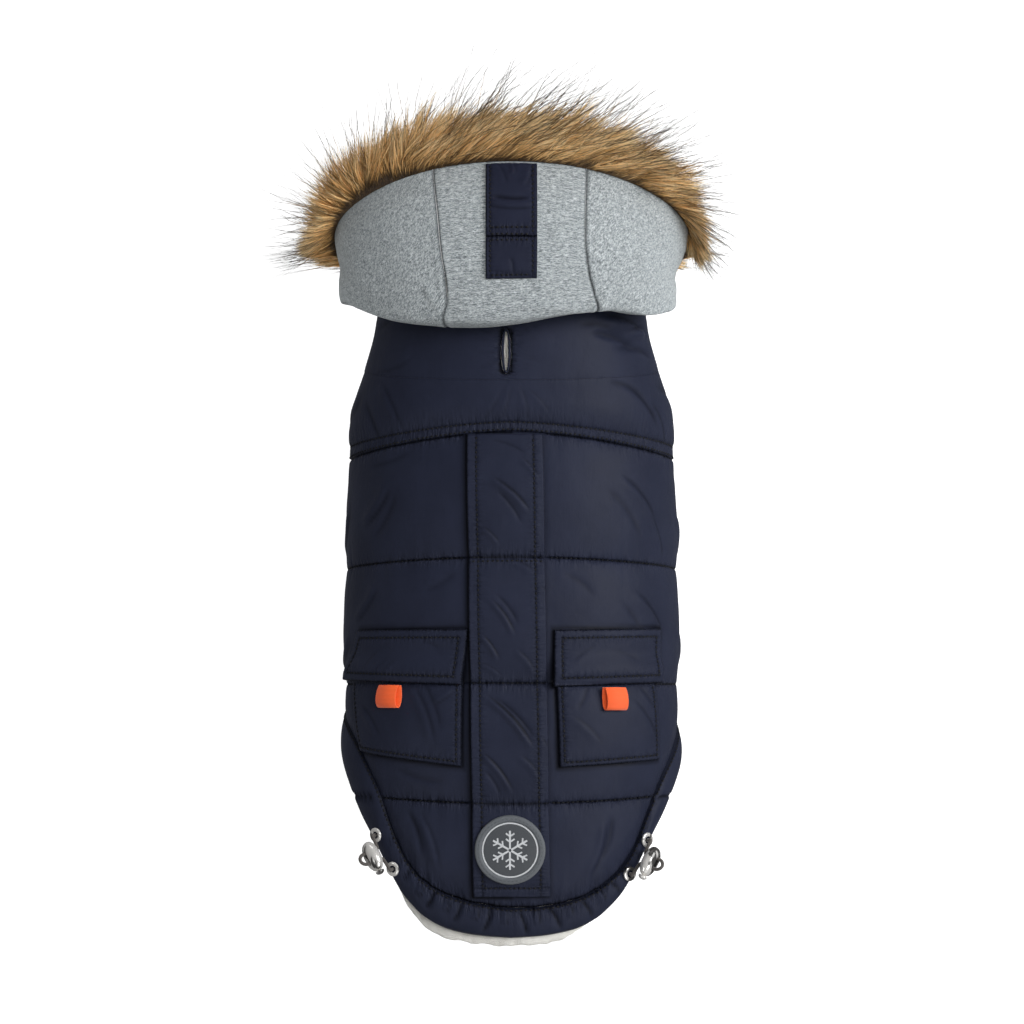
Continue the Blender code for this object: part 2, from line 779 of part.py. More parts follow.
def hood_normal(angle, share):
    step = 0.02
    round_it = hood_bare(angle + 2.0, share) - hood_bare(angle - 2.0, share)
    ahead = hood_bare(angle, min(share + step, 1.0)) - hood_bare(angle, share - step)
    return round_it.cross(ahead).normalized()


def hood_point(angle, share, lift=0.0):
    return hood_bare(angle, share) + hood_normal(angle, share) * lift


def hood_share(angle, v):
    """Shares run out towards the throat, where the front corners are cut round."""
    past = max(0.0, abs(angle) - (HOOD_END_ANGLE - HOOD_CORNER)) / HOOD_CORNER
    return v * (1.0 - HOOD_CORNER_CUT * past ** 2)


def hood_panel(name, first, last, columns, mat, collection):
    angles = [between(first, last, share) for share in even(columns)]

    def at(lift):
        return lambda angle, v: hood_point(angle, hood_share(angle, v), lift)

    wall(name, angles, even(HOOD_ROWS), at(0.0), at(HOOD_CLOTH), mat, collection)


def make_hood(mats, parts):
    seam, gap = HOOD_SEAM_ANGLE, 0.12
    hood_panel("hood_centre", -seam + gap, seam - gap, 6, mats["jersey"], parts)
    hood_panel("hood_left", -HOOD_END_ANGLE, -seam - gap, 13, mats["jersey"], parts)
    hood_panel("hood_right", seam + gap, HOOD_END_ANGLE, 13, mats["jersey"], parts)


def make_hood_strap(mats, parts):
    """Two straps that lie end to end over the crown."""
    pieces = (("hood_strap_upper", STRAP_START_SHARE, STRAP_JOIN_SHARE, 6),
              ("hood_strap_lower", STRAP_JOIN_SHARE - STRAP_JOIN_GAP, STRAP_END_SHARE, 5))
    for name, start, end, rows in pieces:
        def at(lift, start=start, end=end):
            def point(u, v):
                share = between(start, end, v)
                half = hood_value(share, "half_width")
                across = signed_power(between(-0.5, 0.5, u) * STRAP_WIDTH / half,
                                      1 / HOOD_ROUNDNESS)
                angle = math.degrees(math.asin(across))
                return hood_point(angle, share, HOOD_CLOTH + SEAM_GAP + lift)
            return point
        wall(name, even(4), even(rows), at(0.0), at(PATCH_CLOTH), mats["webbing"], parts)


def rim_frame(angle):
    """The hood's edge and the way out from the middle of the face opening."""
    share = hood_share(angle, 1.0)
    edge = hood_bare(angle, share) + hood_normal(angle, share) * HOOD_CLOTH / 2
    radial = Vector((edge.x, 0.0, edge.z - FACE_CENTRE_Z))
    return edge, radial.normalized()


def make_fur_trim(mats, parts):
    """The fur's outer form: a ragged leaf section, led round the face opening."""
    bm = bmesh.new()
    loops = []
    rings = FUR_TUFTS * FUR_TUFT_SAMPLES
    for i in range(rings + 1):
        along = between(-1.0, 1.0, i / rings)
        angle = along * HOOD_END_ANGLE * FUR_END
        edge, radial = rim_frame(angle)
        aside = math.sin(math.radians(min(abs(angle), 90.0)))
        lean = math.radians(between(FUR_LEAN_TOP, FUR_LEAN_SIDE, aside))
        out = FORWARD * math.cos(lean) + radial * math.sin(lean)
        across = radial * math.cos(lean) - FORWARD * math.sin(lean)
        taper = min(1.0, 0.45 + 6.0 * (1.0 - abs(along)))
        uneven = 0.6 + 0.4 * math.sin(7.3 * along + 1.1) * math.sin(17.0 * along)
        wave = math.cos(2 * math.pi * i / FUR_TUFT_SAMPLES)
        length = between(FUR_LENGTH_TOP, FUR_LENGTH_SIDE, aside) * taper
        length *= 1.0 + FUR_TUFT_DEPTH * uneven * wave
        start = edge + FORWARD * between(FUR_ROOT_GAP_TOP, FUR_ROOT_GAP_THROAT, along ** 2)
        root = [start + radial * side * FUR_ROOT_HALF_DEPTH for side in (1.0, -1.0)]
        loop = [bm.verts.new(point * MM) for point in root]
        for row in FUR_SECTION:
            point = start + out * length * row.out + across * FUR_HALF_DEPTH * taper * row.across
            loop.append(bm.verts.new(point * MM))
        loops.append(loop)
    count = len(loops[0])
    for a, b in zip(loops, loops[1:]):
        for k in range(count):
            j = (k + 1) % count
            bm.faces.new((a[k], a[j], b[j], b[k]))
    bm.faces.new(loops[0])
    bm.faces.new(loops[-1])
    add_object("fur_trim", finish_mesh(bm, "fur_trim", 70.0), mats["fur"], parts)


Eyelet = namedtuple("Eyelet", "name angle along")
EYELETS = (Eyelet("front", 52.5, 315.5), Eyelet("rear", 44.5, 335.0))
EYELET_RIGHT_SHIFT = 2.8
EYELET_SEAT = 1.1


def eyelet_frame(side, eyelet):
    """The eyelet's centre on the hem band and its outward direction."""
    angle = side * eyelet.angle
    along = eyelet.along + (EYELET_RIGHT_SHIFT if side > 0 else 0.0)
    seat = hem_top(angle, along) + EYELET_SEAT
    return coat_point(angle, along, seat), outward_at(angle, along)


def turned(name, profile, sides, matrix, mat, collection):
    """A turned piece: profile is a list of (radius, height) from top to bottom."""
    mesh = bpy.data.meshes.new(name)
    edges = [(i, i + 1) for i in range(len(profile) - 1)]
    if profile[0][0] > 0.0:
        edges.append((len(profile) - 1, 0))
    mesh.from_pydata([(r * MM, 0.0, z * MM) for r, z in profile], edges, [])
    obj = add_object(name, mesh, mat, collection)
    screw = obj.modifiers.new("turn", "SCREW")
    screw.steps = sides
    screw.render_steps = sides
    screw.use_merge_vertices = True
    screw.merge_threshold = 0.00001
    obj.matrix_world = matrix
    return obj


def facing(centre, outward, guide):
    """A matrix with +Z outward and +Y as near the guide as it can be."""
    z = outward.normalized()
    x = guide.cross(z).normalized()
    basis = Matrix((x, z.cross(x), z)).transposed().to_4x4()
    return Matrix.Translation(centre * MM) @ basis


def make_eyelets(mats, parts):
    hole, rim = EYELET_HOLE_RADIUS, EYELET_RADIUS
    profile = ((hole, 0.45), (hole + 0.7, 0.95), (rim - 0.8, 0.85), (rim, 0.25),
               (rim - 0.3, -0.35), (hole + 0.3, -0.4))
    for label, side in (("left", -1), ("right", 1)):
        for eyelet in EYELETS:
            centre, outward = eyelet_frame(side, eyelet)
            turned(f"eyelet_{eyelet.name}_{label}", profile, 14,
                   facing(centre, outward, Vector((0.0, 1.0, 0.2))), mats["metal"], parts)


def lock_frame(side):
    """The cord lock's centre, the way its cord runs out, and its long axis."""
    front, out_a = eyelet_frame(side, EYELETS[0])
    rear, out_b = eyelet_frame(side, EYELETS[1])
    long_axis = (rear - front).normalized()
    away = (out_a + out_b).normalized() + Vector((side * 0.25, -0.25, -0.1))
    away = (away - long_axis * away.dot(long_axis)).normalized()
    return (front + rear) / 2 + away * LOCK_STAND_OFF, away, long_axis


def cord_route(side):
    """From the front eyelet through the lock, round a small loop and back."""
    front, out_a = eyelet_frame(side, EYELETS[0])
    rear, out_b = eyelet_frame(side, EYELETS[1])
    centre, away, long_axis = lock_frame(side)
    reach, half = 3.2, LOCK_THICKNESS / 2
    entry = centre - away * (half + 1.2)
    leave = centre + away * (half + 0.6)
    route = [front - out_a * 0.2, front + out_a * 1.6, front + out_a * 3.0]
    route += [entry - long_axis * (reach + 0.3), centre - long_axis * reach,
              leave - long_axis * reach]
    for step in range(1, 6):
        turn = math.pi * step / 6
        route.append(leave - long_axis * reach * math.cos(turn)
                     + away * CORD_LOOP_REACH * math.sin(turn))
    route += [leave + long_axis * reach, centre + long_axis * reach,
              entry + long_axis * (reach + 0.3)]
    route += [rear + out_b * 3.0, rear + out_b * 1.6, rear - out_b * 0.2]
    return route


def smooth_route(points, step):
    """Points a step apart on the smooth curve through a route's own points."""
    dense = []
    padded = [points[0] * 2 - points[1], *points, points[-1] * 2 - points[-2]]
    for a, b, c, d in zip(padded, padded[1:], padded[2:], padded[3:]):
        for i in range(12):
            t = i / 12
            dense.append(0.5 * (2 * b + (c - a) * t + (2 * a - 5 * b + 4 * c - d) * t * t
                                + (3 * b - a - 3 * c + d) * t ** 3))
    dense.append(points[-1])
    walked = [0.0]
    for a, b in zip(dense, dense[1:]):
        walked.append(walked[-1] + (b - a).length)
    count = round(walked[-1] / step)
    spaced = []
    at = 0
    for i in range(count + 1):
        target = walked[-1] * i / count
        while at < len(walked) - 2 and walked[at + 1] < target:
            at += 1
        share = (target - walked[at]) / (walked[at + 1] - walked[at])
        spaced.append(dense[at].lerp(dense[at + 1], share))
    return spaced


def make_cords(mats, parts):
    for label, side in (("left", -1), ("right", 1)):
        curve = bpy.data.curves.new(f"cord_{label}", "CURVE")
        curve.dimensions = "3D"
        curve.bevel_depth = CORD_DIAMETER / 2 * MM
        curve.bevel_resolution = 2
        curve.use_fill_caps = True
        line = smooth_route(cord_route(side), 3.0)
        spline = curve.splines.new("POLY")
        spline.points.add(len(line) - 1)
        for point, place in zip(spline.points, line):
            point.co = (*(place * MM), 1.0)
        add_object(f"cord_{label}", curve, mats["elastic"], parts)


def lock_slot(name, place, mats, cutters):
    """The slot through a lock that holds the cord's two runs side by side."""
    width, apart = 2.9, 3.3
    bm = bmesh.new()
    bmesh.ops.create_cone(bm, cap_ends=True, segments=14, radius1=0.5, radius2=0.5, depth=1.0)
    for vert in bm.verts:
        shift = math.copysign(apart, vert.co.y) if abs(vert.co.y) > 1e-6 else 0.0
        vert.co = Vector((vert.co.x * width, vert.co.y * width + shift, vert.co.z * 30.0)) * MM
    slot = add_object(name, finish_mesh(bm, name), mats["metal"], cutters)
    slot.matrix_world = place
    return as_cutter(slot)


def make_cord_locks(mats, parts, cutters):
    """A bean-shaped sprung lock with a slot through it and a push button on its end."""
    size = Vector((LOCK_DEPTH, LOCK_LENGTH, LOCK_THICKNESS)) / 2
    dome = ((0.0, 2.2), (1.5, 1.9), (2.5, 1.1), (2.7, 0.0), (0.0, 0.0))
    for label, side in (("left", -1), ("right", 1)):
        centre, away, long_axis = lock_frame(side)
        place = facing(centre, away, long_axis)
        bm = bmesh.new()
        bmesh.ops.create_uvsphere(bm, u_segments=16, v_segments=8, radius=1.0)
        for vert in bm.verts:
            vert.co = Vector([signed_power(c, 0.92) * s * MM for c, s in zip(vert.co, size)])
        body = add_object(f"cord_lock_{label}", finish_mesh(bm, "lock"), mats["metal"], parts)
        body.matrix_world = place
        cut(body, lock_slot(f"lock_slot_{label}", place, mats, cutters))
        end = centre + long_axis * (LOCK_LENGTH / 2 + SEAM_GAP)
        turned(f"lock_button_{label}", dome, 12, facing(end, long_axis, away),
               mats["metal"], parts)


def main():
    clear_scene()
    parts = new_collection("dog_parka")
    cutters = new_collection("cutters")
    mats = {
        "navy": material("navy_shell", NAVY),
        "webbing": material("navy_webbing", NAVY_WEBBING),
        "jersey": material("grey_jersey", GREY_JERSEY),
        "sherpa": material("sherpa", SHERPA),
        "fur": material("fur", FUR),
        "orange": material("orange_ribbon", ORANGE),
        "rubber": material("grey_rubber", RUBBER),
        "metal": material("polished_metal", METAL),
        "elastic": material("elastic_cord", ELASTIC),
    }
    hem_cutter = hem_cutter_solid(mats, cutters)
    slot_cutter = stadium_cutter("leash_slot_cutter", LEASH_SLOT_ANGLE, LEASH_SLOT_ALONG,
                                 LEASH_SLOT_LENGTH, LEASH_SLOT_WIDTH, 30.0, mats, cutters)
    leg_cutters = [
        stadium_cutter(f"leg_cutter_{label}", side * LEG_HOLE_ANGLE, LEG_HOLE_ALONG,
                       LEG_HOLE_LENGTH, LEG_HOLE_WIDTH, 46.0, mats, cutters)
        for label, side in (("left", -1), ("right", 1))
    ]
    make_collar(mats, parts, slot_cutter)
    make_slot_binding(mats, parts)
    make_yoke(mats, parts)
    make_back(mats, parts, hem_cutter)
    make_chest(mats, parts, hem_cutter, leg_cutters)
    make_hem_band(mats, parts)
    make_lining(mats, parts, leg_cutters, slot_cutter)
    make_placket(mats, parts)
    make_pockets(mats, parts)
    make_ribbon_loops(mats, parts)
    make_badge(mats, parts)
    make_hood(mats, parts)
    make_hood_strap(mats, parts)
    make_fur_trim(mats, parts)
    make_eyelets(mats, parts)
    make_cords(mats, parts)
    make_cord_locks(mats, parts, cutters)


main()
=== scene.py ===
"""Looks of the padded dog parka: cloth, stitching, pile, fur and hardware.

Lengths are in millimetres until a mesh is made. The coat is one surface, as in the CAD
source: "along" runs from the nape to the tail, the angle goes round the body from the top
of the back over the dog's right side, and "across" is the distance from the spine.
"""

import math

import bpy
import numpy as np
from mathutils import Matrix, Vector


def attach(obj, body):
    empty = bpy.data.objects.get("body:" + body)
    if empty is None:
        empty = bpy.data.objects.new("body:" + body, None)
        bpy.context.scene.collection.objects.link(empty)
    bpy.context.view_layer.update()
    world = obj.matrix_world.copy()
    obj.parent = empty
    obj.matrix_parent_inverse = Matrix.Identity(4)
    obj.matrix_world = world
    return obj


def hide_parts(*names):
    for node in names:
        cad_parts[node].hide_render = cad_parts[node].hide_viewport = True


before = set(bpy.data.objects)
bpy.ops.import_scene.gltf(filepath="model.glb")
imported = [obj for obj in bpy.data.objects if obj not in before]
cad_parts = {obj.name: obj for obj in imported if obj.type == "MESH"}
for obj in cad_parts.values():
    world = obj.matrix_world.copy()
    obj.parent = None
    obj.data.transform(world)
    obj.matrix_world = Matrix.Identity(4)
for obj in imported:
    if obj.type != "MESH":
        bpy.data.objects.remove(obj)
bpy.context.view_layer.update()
MM = 0.001
# One row and column in this many of a cloth's face is in the plain grid under it
COARSE = 4
STITCH_LIFT = 0.12

SEAM_GAP = 0.3
LIE_GAP = 0.6
LINING_GAP = 1.0
SHELL_CLOTH = 2.0
QUILT_LOFT = 4.2
QUILT_SIDE_LOFT = 0.55
COLLAR_LOFT = 3.8
YOKE_LOFT = 3.4
CHEST_LOFT_SHARE = 0.5
LINING_PILE = 3.0
HOOD_CLOTH = 1.8
PATCH_CLOTH = 1.4
NAPE_Y = 80.0
COLLAR_SEAM = 44.0
YOKE_SEAM = 75.0
YOKE_STITCHED_EDGE = 6.0
NECK_SEAM_FILL = 0.96
QUILT_ROWS = (YOKE_SEAM, 150.0, 225.0, 296.0, 370.0)
CHEST_ROWS = (COLLAR_SEAM, YOKE_SEAM, 150.0, 225.0, 250.0)
WIDEST_ALONG = 160.0
SIDE_SEAM_ANGLE = 110.0
SIDE_GAP_ANGLE = 0.16
QUILT_PINCH_ANGLE = 14.0
QUILT_PINCH_LENGTH = 18.0
SECTION_ROUNDNESS = 0.89
HEM_LOFT = 4.6
HOOD_LENGTH = 190.0
HOOD_ARC = 215.0
HOOD_NECK_CLEARANCE = 2.4
HOOD_ROUNDNESS = 0.92
HOOD_SKEW = 2.6
HOOD_RIGHT_TUCK = 3.0
HOOD_END_ANGLE = 148.0
HOOD_CORNER = 34.0
HOOD_CORNER_CUT = 0.42


class Table:
    """Rows of named columns, read as smooth curves over the first column."""

    def __init__(self, names, rows):
        values = np.array(rows, float)
        self.keys = values[:, 0]
        self.columns = dict(zip(names.split(), values.T))

    def at(self, column, x):
        keys, values = self.keys, self.columns[column]
        slopes = np.diff(values) / np.diff(keys)
        before = np.concatenate([slopes[:1], slopes])
        after = np.concatenate([slopes, slopes[-1:]])
        both = before * after
        tangents = np.where(both > 0, 2 * both / np.where(both > 0, before + after, 1.0), 0.0)
        x = np.clip(np.asarray(x, float), keys[0], keys[-1])
        i = np.clip(np.searchsorted(keys, x, side="right") - 1, 0, len(keys) - 2)
        span = keys[i + 1] - keys[i]
        t = (x - keys[i]) / span
        return ((1 + 2 * t) * (1 - t) ** 2 * values[i]
                + t * (1 - t) ** 2 * span * tangents[i]
                + t * t * (3 - 2 * t) * values[i + 1]
                + t * t * (t - 1) * span * tangents[i + 1])


STATIONS = Table("along half_width back_z height lean", (
    (0.0, 77.0, 17.0, 104.0, 25.0),
    (22.0, 80.0, 13.0, 113.0, 20.0),
    (44.0, 88.0, 9.5, 124.0, 14.0),
    (60.0, 95.5, 7.4, 132.0, 9.0),
    (80.0, 101.0, 5.4, 140.0, 5.0),
    (115.0, 101.5, 3.4, 147.0, 1.0),
    (160.0, 102.5, 1.8, 146.0, 0.0),
    (225.0, 102.0, 0.0, 136.0, 0.0),
    (265.0, 101.0, -1.5, 127.0, 0.0),
    (300.0, 97.0, -3.5, 118.0, 0.0),
    (345.0, 91.0, -7.0, 107.0, 0.0),
    (392.0, 86.0, -12.0, 98.0, 0.0),
))
DROOPS = Table("along side", (
    (0.0, 0.0), (44.0, 0.0), (75.0, 13.5), (150.0, 3.5), (225.0, 1.0), (296.0, -3.0),
    (400.0, 0.0),
))
HEM = Table("angle seam edge skew", (
    (0.0, 357.0, 375.2, 0.0),
    (10.0, 355.4, 374.0, 0.8),
    (22.0, 351.0, 370.6, 1.4),
    (32.0, 343.5, 364.2, 2.5),
    (38.0, 336.0, 357.6, 4.0),
    (43.0, 326.0, 350.6, 7.0),
    (48.0, 312.0, 340.5, 11.0),
    (52.0, 298.5, 331.5, 12.0),
    (57.0, 285.0, 321.0, 11.0),
    (64.0, 271.0, 309.5, 9.0),
    (77.0, 257.0, 290.0, 7.0),
    (90.0, 249.0, 276.5, 5.0),
    (120.0, 228.0, 252.0, 2.0),
    (150.0, 209.0, 233.0, 0.0),
    (180.0, 203.0, 227.0, 0.0),
))
HOOD = Table("share half_width y_top y_side y_throat z_top z_throat", (
    (0.06, 80.5, 82.5, 107.5, 127.5, 25.0, -80.0),
    (0.12, 88.0, 74.5, 103.0, 127.5, 31.0, -83.0),
    (0.21, 95.5, 64.0, 94.0, 127.5, 36.0, -85.0),
    (0.32, 102.0, 65.0, 92.0, 127.5, 44.0, -86.0),
    (0.46, 105.0, 82.0, 98.0, 127.0, 52.0, -85.0),
    (0.64, 105.5, 108.0, 109.0, 127.0, 57.0, -82.0),
    (0.82, 106.0, 133.0, 119.0, 125.0, 57.0, -77.0),
    (1.00, 107.0, 156.5, 126.0, 121.0, 53.0, -72.0),
))
ORIGIN_HEIGHT = float(STATIONS.at("back_z", NAPE_Y)) - LINING_GAP - LINING_PILE


def lerp(start, end, share):
    return start + (end - start) * share


def smooth(x):
    x = np.clip(x, 0.0, 1.0)
    return x * x * (3 - 2 * x)


def signed_power(value, power):
    return np.sign(value) * np.abs(value) ** power


def pillow(share, power=0.55):
    return np.maximum(0.0, np.sin(np.pi * np.clip(share, 0.0, 1.0))) ** power


def pinch(distance, length):
    return np.sqrt(np.clip(distance / length, 0.0, 1.0))


def signed_angle(angle):
    return (np.asarray(angle, float) + 180.0) % 360.0 - 180.0


def from_top(angle):
    return np.abs(signed_angle(angle))


def unit(vectors):
    return vectors / np.maximum(np.linalg.norm(vectors, axis=-1, keepdims=True), 1e-12)


def walked(line):
    """How far along a polyline each of its points is."""
    return np.concatenate([[0.0], np.cumsum(np.linalg.norm(np.diff(line, axis=0), axis=1))])


def turns(count, shift=0.0):
    """Even steps round a circle, in radians."""
    return 2 * np.pi * (np.arange(count) + shift) / count


def base_point(angle, along):
    angle, along = np.broadcast_arrays(np.asarray(angle, float), np.asarray(along, float))
    height = STATIONS.at("height", along)
    lean = np.radians(STATIONS.at("lean", along))
    turn = np.radians(angle)
    x = STATIONS.at("half_width", along) * signed_power(np.sin(turn), SECTION_ROUNDNESS)
    drop = height / 2 * (1 - signed_power(np.cos(turn), SECTION_ROUNDNESS))
    z = STATIONS.at("back_z", along) - ORIGIN_HEIGHT - drop * np.cos(lean)
    return np.stack([x, NAPE_Y - along + drop * np.sin(lean), z], -1)


def coat_normal(angle, along):
    step = 1.5
    round_it = base_point(angle + step, along) - base_point(angle - step, along)
    down_it = base_point(angle, along + step) - base_point(angle, along - step)
    return unit(np.cross(down_it, round_it))


def coat_point(angle, along, lift=0.0):
    lift = np.asarray(lift, float)[..., None]
    return base_point(angle, along) + coat_normal(angle, along) * lift


def coat_frame(angle, along):
    """The sideways, tailward and outward directions at a place on the coat."""
    outward = coat_normal(angle, along)
    tailward = unit(coat_point(angle, along + 1.0) - coat_point(angle, along - 1.0))
    return unit(np.cross(outward, tailward)), tailward, outward


# The distance from the spine for each angle and along, and the way back
GRID_ANGLES = np.linspace(0.0, 180.0, 181)
GRID_ALONGS = np.linspace(-10.0, 400.0, 83)
GRID_POINTS = base_point(GRID_ANGLES[None, :], GRID_ALONGS[:, None])
GRID_ACROSS = np.concatenate([np.zeros((len(GRID_ALONGS), 1)), np.cumsum(np.linalg.norm(
    np.diff(GRID_POINTS, axis=1), axis=-1), axis=1)], axis=1)
MOST_ACROSS = 300.0
ACROSS_STEPS = np.linspace(0.0, MOST_ACROSS, 301)
GRID_BACK = np.array([np.interp(ACROSS_STEPS, row, GRID_ANGLES) for row in GRID_ACROSS])


def read_grid(grid, x, along, most):
    """Bilinear reading of a grid over (along, x)."""
    v = np.clip((along - GRID_ALONGS[0]) / (GRID_ALONGS[1] - GRID_ALONGS[0]), 0,
                len(GRID_ALONGS) - 1.001)
    u = np.clip(x / most * (grid.shape[1] - 1), 0, grid.shape[1] - 1.001)
    i, j = v.astype(int), u.astype(int)
    a, b = v - i, u - j
    return ((1 - a) * ((1 - b) * grid[i, j] + b * grid[i, j + 1])
            + a * ((1 - b) * grid[i + 1, j] + b * grid[i + 1, j + 1]))


def across_of(angle, along):
    angle, along = np.broadcast_arrays(signed_angle(angle), np.asarray(along, float))
    return np.sign(angle) * read_grid(GRID_ACROSS, np.abs(angle), along, 180.0)


def angle_of(across, along):
    across, along = np.broadcast_arrays(np.asarray(across, float), np.asarray(along, float))
    return np.sign(across) * read_grid(GRID_BACK, np.abs(across), along, MOST_ACROSS)


def row_along(angle, row):
    droop = DROOPS.at("side", row)
    return row + droop * np.abs(np.sin(np.radians(angle))) ** 1.4


def row_of(angle, along):
    row = np.asarray(along, float)
    for _ in range(4):
        row = row - (row_along(angle, row) - along)
    return row


def hem_edge(angle):
    return HEM.at("edge", from_top(angle))


def hem_seam(angle):
    aside = from_top(angle)
    return HEM.at("seam", aside) + HEM.at("skew", aside) * np.sign(np.sin(np.radians(angle)))


def lofts(row, rows, power=0.55):
    """The height of padding between sewn rows, as a share."""
    found = np.zeros_like(row)
    for start, end in zip(rows, rows[1:]):
        inside = (row >= start) & (row <= end)
        found = np.where(inside, pillow((row - start) / (end - start), power), found)
    return found


def quilt_top(angle, along, valley=0.0):
    """How far the quilted back stands off the surface. valley fills its seams, 0 to 1."""
    loft = QUILT_LOFT * lerp(lofts(row_of(angle, along), QUILT_ROWS), 1.0, valley)
    loft = loft * lerp(1.0, QUILT_SIDE_LOFT, np.sin(np.radians(angle)) ** 2)
    loft = loft * pinch(SIDE_SEAM_ANGLE - from_top(angle), QUILT_PINCH_ANGLE)
    loft = loft * pinch(hem_seam(angle) - along, QUILT_PINCH_LENGTH)
    return SHELL_CLOTH + loft


def hem_top(angle, along):
    seam, edge = hem_seam(angle), hem_edge(angle)
    share = (along - seam) / (edge - seam)
    return SHELL_CLOTH * 0.9 + HEM_LOFT * pillow(0.06 + 0.90 * share, 0.6)


# Noise

def hashed(cells, seed):
    """A number from 0 to 1 for each whole-number place."""
    h = (cells[..., 0].astype(np.uint32) * np.uint32(374761393)
         + cells[..., 1].astype(np.uint32) * np.uint32(668265263)
         + cells[..., 2].astype(np.uint32) * np.uint32(2246822519)
         + np.uint32((seed * 3266489917) % 4294967296))
    h = (h ^ (h >> np.uint32(13))) * np.uint32(1274126177)
    h = (h ^ (h >> np.uint32(16))) * np.uint32(2654435761)
    return ((h >> np.uint32(8)) & np.uint32(0xFFFF)).astype(float) / 65535.0


def noise(points, size, seed=0):
    """Smooth noise from -1 to 1 over points, with features of about that size."""
    p = np.asarray(points, float) / size
    cell = np.floor(p).astype(np.int64)
    t = smooth(p - cell)
    total = 0.0
    for dx in (0, 1):
        for dy in (0, 1):
            for dz in (0, 1):
                weight = (np.where(dx, t[..., 0], 1 - t[..., 0])
                          * np.where(dy, t[..., 1], 1 - t[..., 1])
                          * np.where(dz, t[..., 2], 1 - t[..., 2]))
                total = total + weight * hashed(cell + (dx, dy, dz), seed)
    return 2 * total - 1


def curls(points, size, seed=0):
    """Rounded lumps: 1 in the middle of a lump, 0 in the clefts between them."""
    p = np.asarray(points, float) / size
    cell = np.floor(p).astype(np.int64)
    nearest = np.full(p.shape[:-1], 9.0)
    for dx in (-1, 0, 1):
        for dy in (-1, 0, 1):
            for dz in (-1, 0, 1):
                there = cell + (dx, dy, dz)
                spot = there + np.stack([hashed(there, seed + k) for k in range(3)], -1)
                nearest = np.minimum(nearest, ((p - spot) ** 2).sum(-1))
    return np.clip(1.0 - nearest / 0.75, 0.0, 1.0) ** 0.7


def flat(across, along, z=0.0):
    across, along = np.broadcast_arrays(np.asarray(across, float), np.asarray(along, float))
    return np.stack([across, along, np.full(across.shape, z)], -1)


# Creases are (across, along, across, along, half width, height) in the flat cloth
BACK_CREASES = (
    (-77, 106, -97, 127, 3.4, 0.8), (-70, 112, -88, 138, 3.0, -0.5),
    (64, 102, 90, 128, 3.2, 0.8), (56, 108, 80, 136, 3.4, -0.5),
    (86, 124, 99, 150, 2.6, 0.7), (74, 172, 96, 198, 3.0, 0.8), (66, 176, 84, 204, 3.0, -0.5),
    (-86, 166, -104, 186, 3.0, 0.6), (-60, 86, -92, 94, 2.6, -0.5),
    (-40, 283, -70, 275, 3.0, -0.5), (-62, 300, -52, 326, 2.6, -0.7),
    (-56, 302, -44, 334, 2.4, 0.6), (60, 304, 52, 330, 2.6, -0.7), (54, 306, 44, 338, 2.4, 0.6),
    (30, 232, 60, 242, 3.6, -0.4), (32, 160, 48, 172, 3.0, -0.4), (-34, 160, -50, 170, 3.0, -0.4),
    (120, 120, 150, 150, 4.0, 0.8), (-118, 116, -146, 146, 4.0, 0.8),
    (112, 190, 140, 214, 3.6, 0.7), (-112, 196, -138, 216, 3.6, 0.7),
    (128, 96, 160, 108, 3.6, -0.6), (-130, 98, -158, 112, 3.6, -0.6),
)
YOKE_CREASES = (
    (-2, 48, -9, 68, 1.6, 0.35), (3, 48, 8, 68, 1.8, 0.3), (8, 50, 22, 66, 1.6, 0.3),
    (-8, 50, -20, 68, 2.0, 0.3), (66, 50, 92, 74, 3.2, 0.7), (58, 46, 84, 56, 2.6, -0.6),
    (-84, 50, -70, 74, 3.0, 0.5), (-96, 58, -84, 80, 2.6, -0.6), (88, 60, 104, 84, 2.4, 0.6),
    (100, 56, 130, 66, 4.0, 0.7), (-104, 54, -134, 66, 4.0, 0.7),
)
COLLAR_CREASES = (
    (46, 17, 80, 31, 2.7, -2.3), (52, 11, 88, 25, 3.2, 2.4), (62, 28, 96, 35, 2.8, -1.6),
    (70, 22, 98, 24, 2.6, 1.6), (40, 12, 60, 16, 2.4, -0.9),
    (-72, 8, -92, 20, 2.6, -0.8), (-60, 30, -88, 40, 2.8, 0.6),
    (3, 18, 16, 12, 1.2, -0.4), (3, 24, 18, 22, 1.2, 0.4), (3, 30, 18, 34, 1.2, -0.35),
    (-9, 18, -20, 12, 1.2, -0.35), (-9, 26, -20, 26, 1.2, 0.3), (-9, 32, -19, 37, 1.2, -0.3),
    (110, 14, 150, 30, 3.6, -0.9), (-108, 16, -150, 28, 3.6, -0.9), (118, 30, 158, 38, 3.6, 0.8),
)
PLACKET_CREASES = (
    (-12, 104, 10, 125, 2.0, 0.75), (-9, 110, 6, 130, 1.7, -0.5), (-18, 133, -8, 143, 1.5, 0.5),
    (5, 92, 15, 104, 1.6, 0.4), (-13, 176, 1, 197, 1.6, 0.75), (-9, 172, 4, 190, 1.6, -0.45),
    (-18, 197, -8, 212, 1.5, 0.7), (-18, 214, -6, 222, 1.4, 0.4), (-17, 232, 12, 264, 1.8, 0.95),
    (-11, 232, 14, 258, 1.6, -0.55), (-18, 266, 0, 290, 1.7, 0.85), (-15, 276, -6, 291, 1.5, -0.5),
    (4, 268, 16, 282, 1.8, 0.4), (-4, 152, 12, 160, 2.0, 0.4), (2, 206, 13, 220, 1.8, 0.4),
    (16, 84, 22, 96, 1.2, 0.35), (16, 168, 22, 176, 1.2, 0.35), (15, 256, 22, 268, 1.2, 0.4),
    (-12, 80, 8, 88, 1.8, -0.3),
)
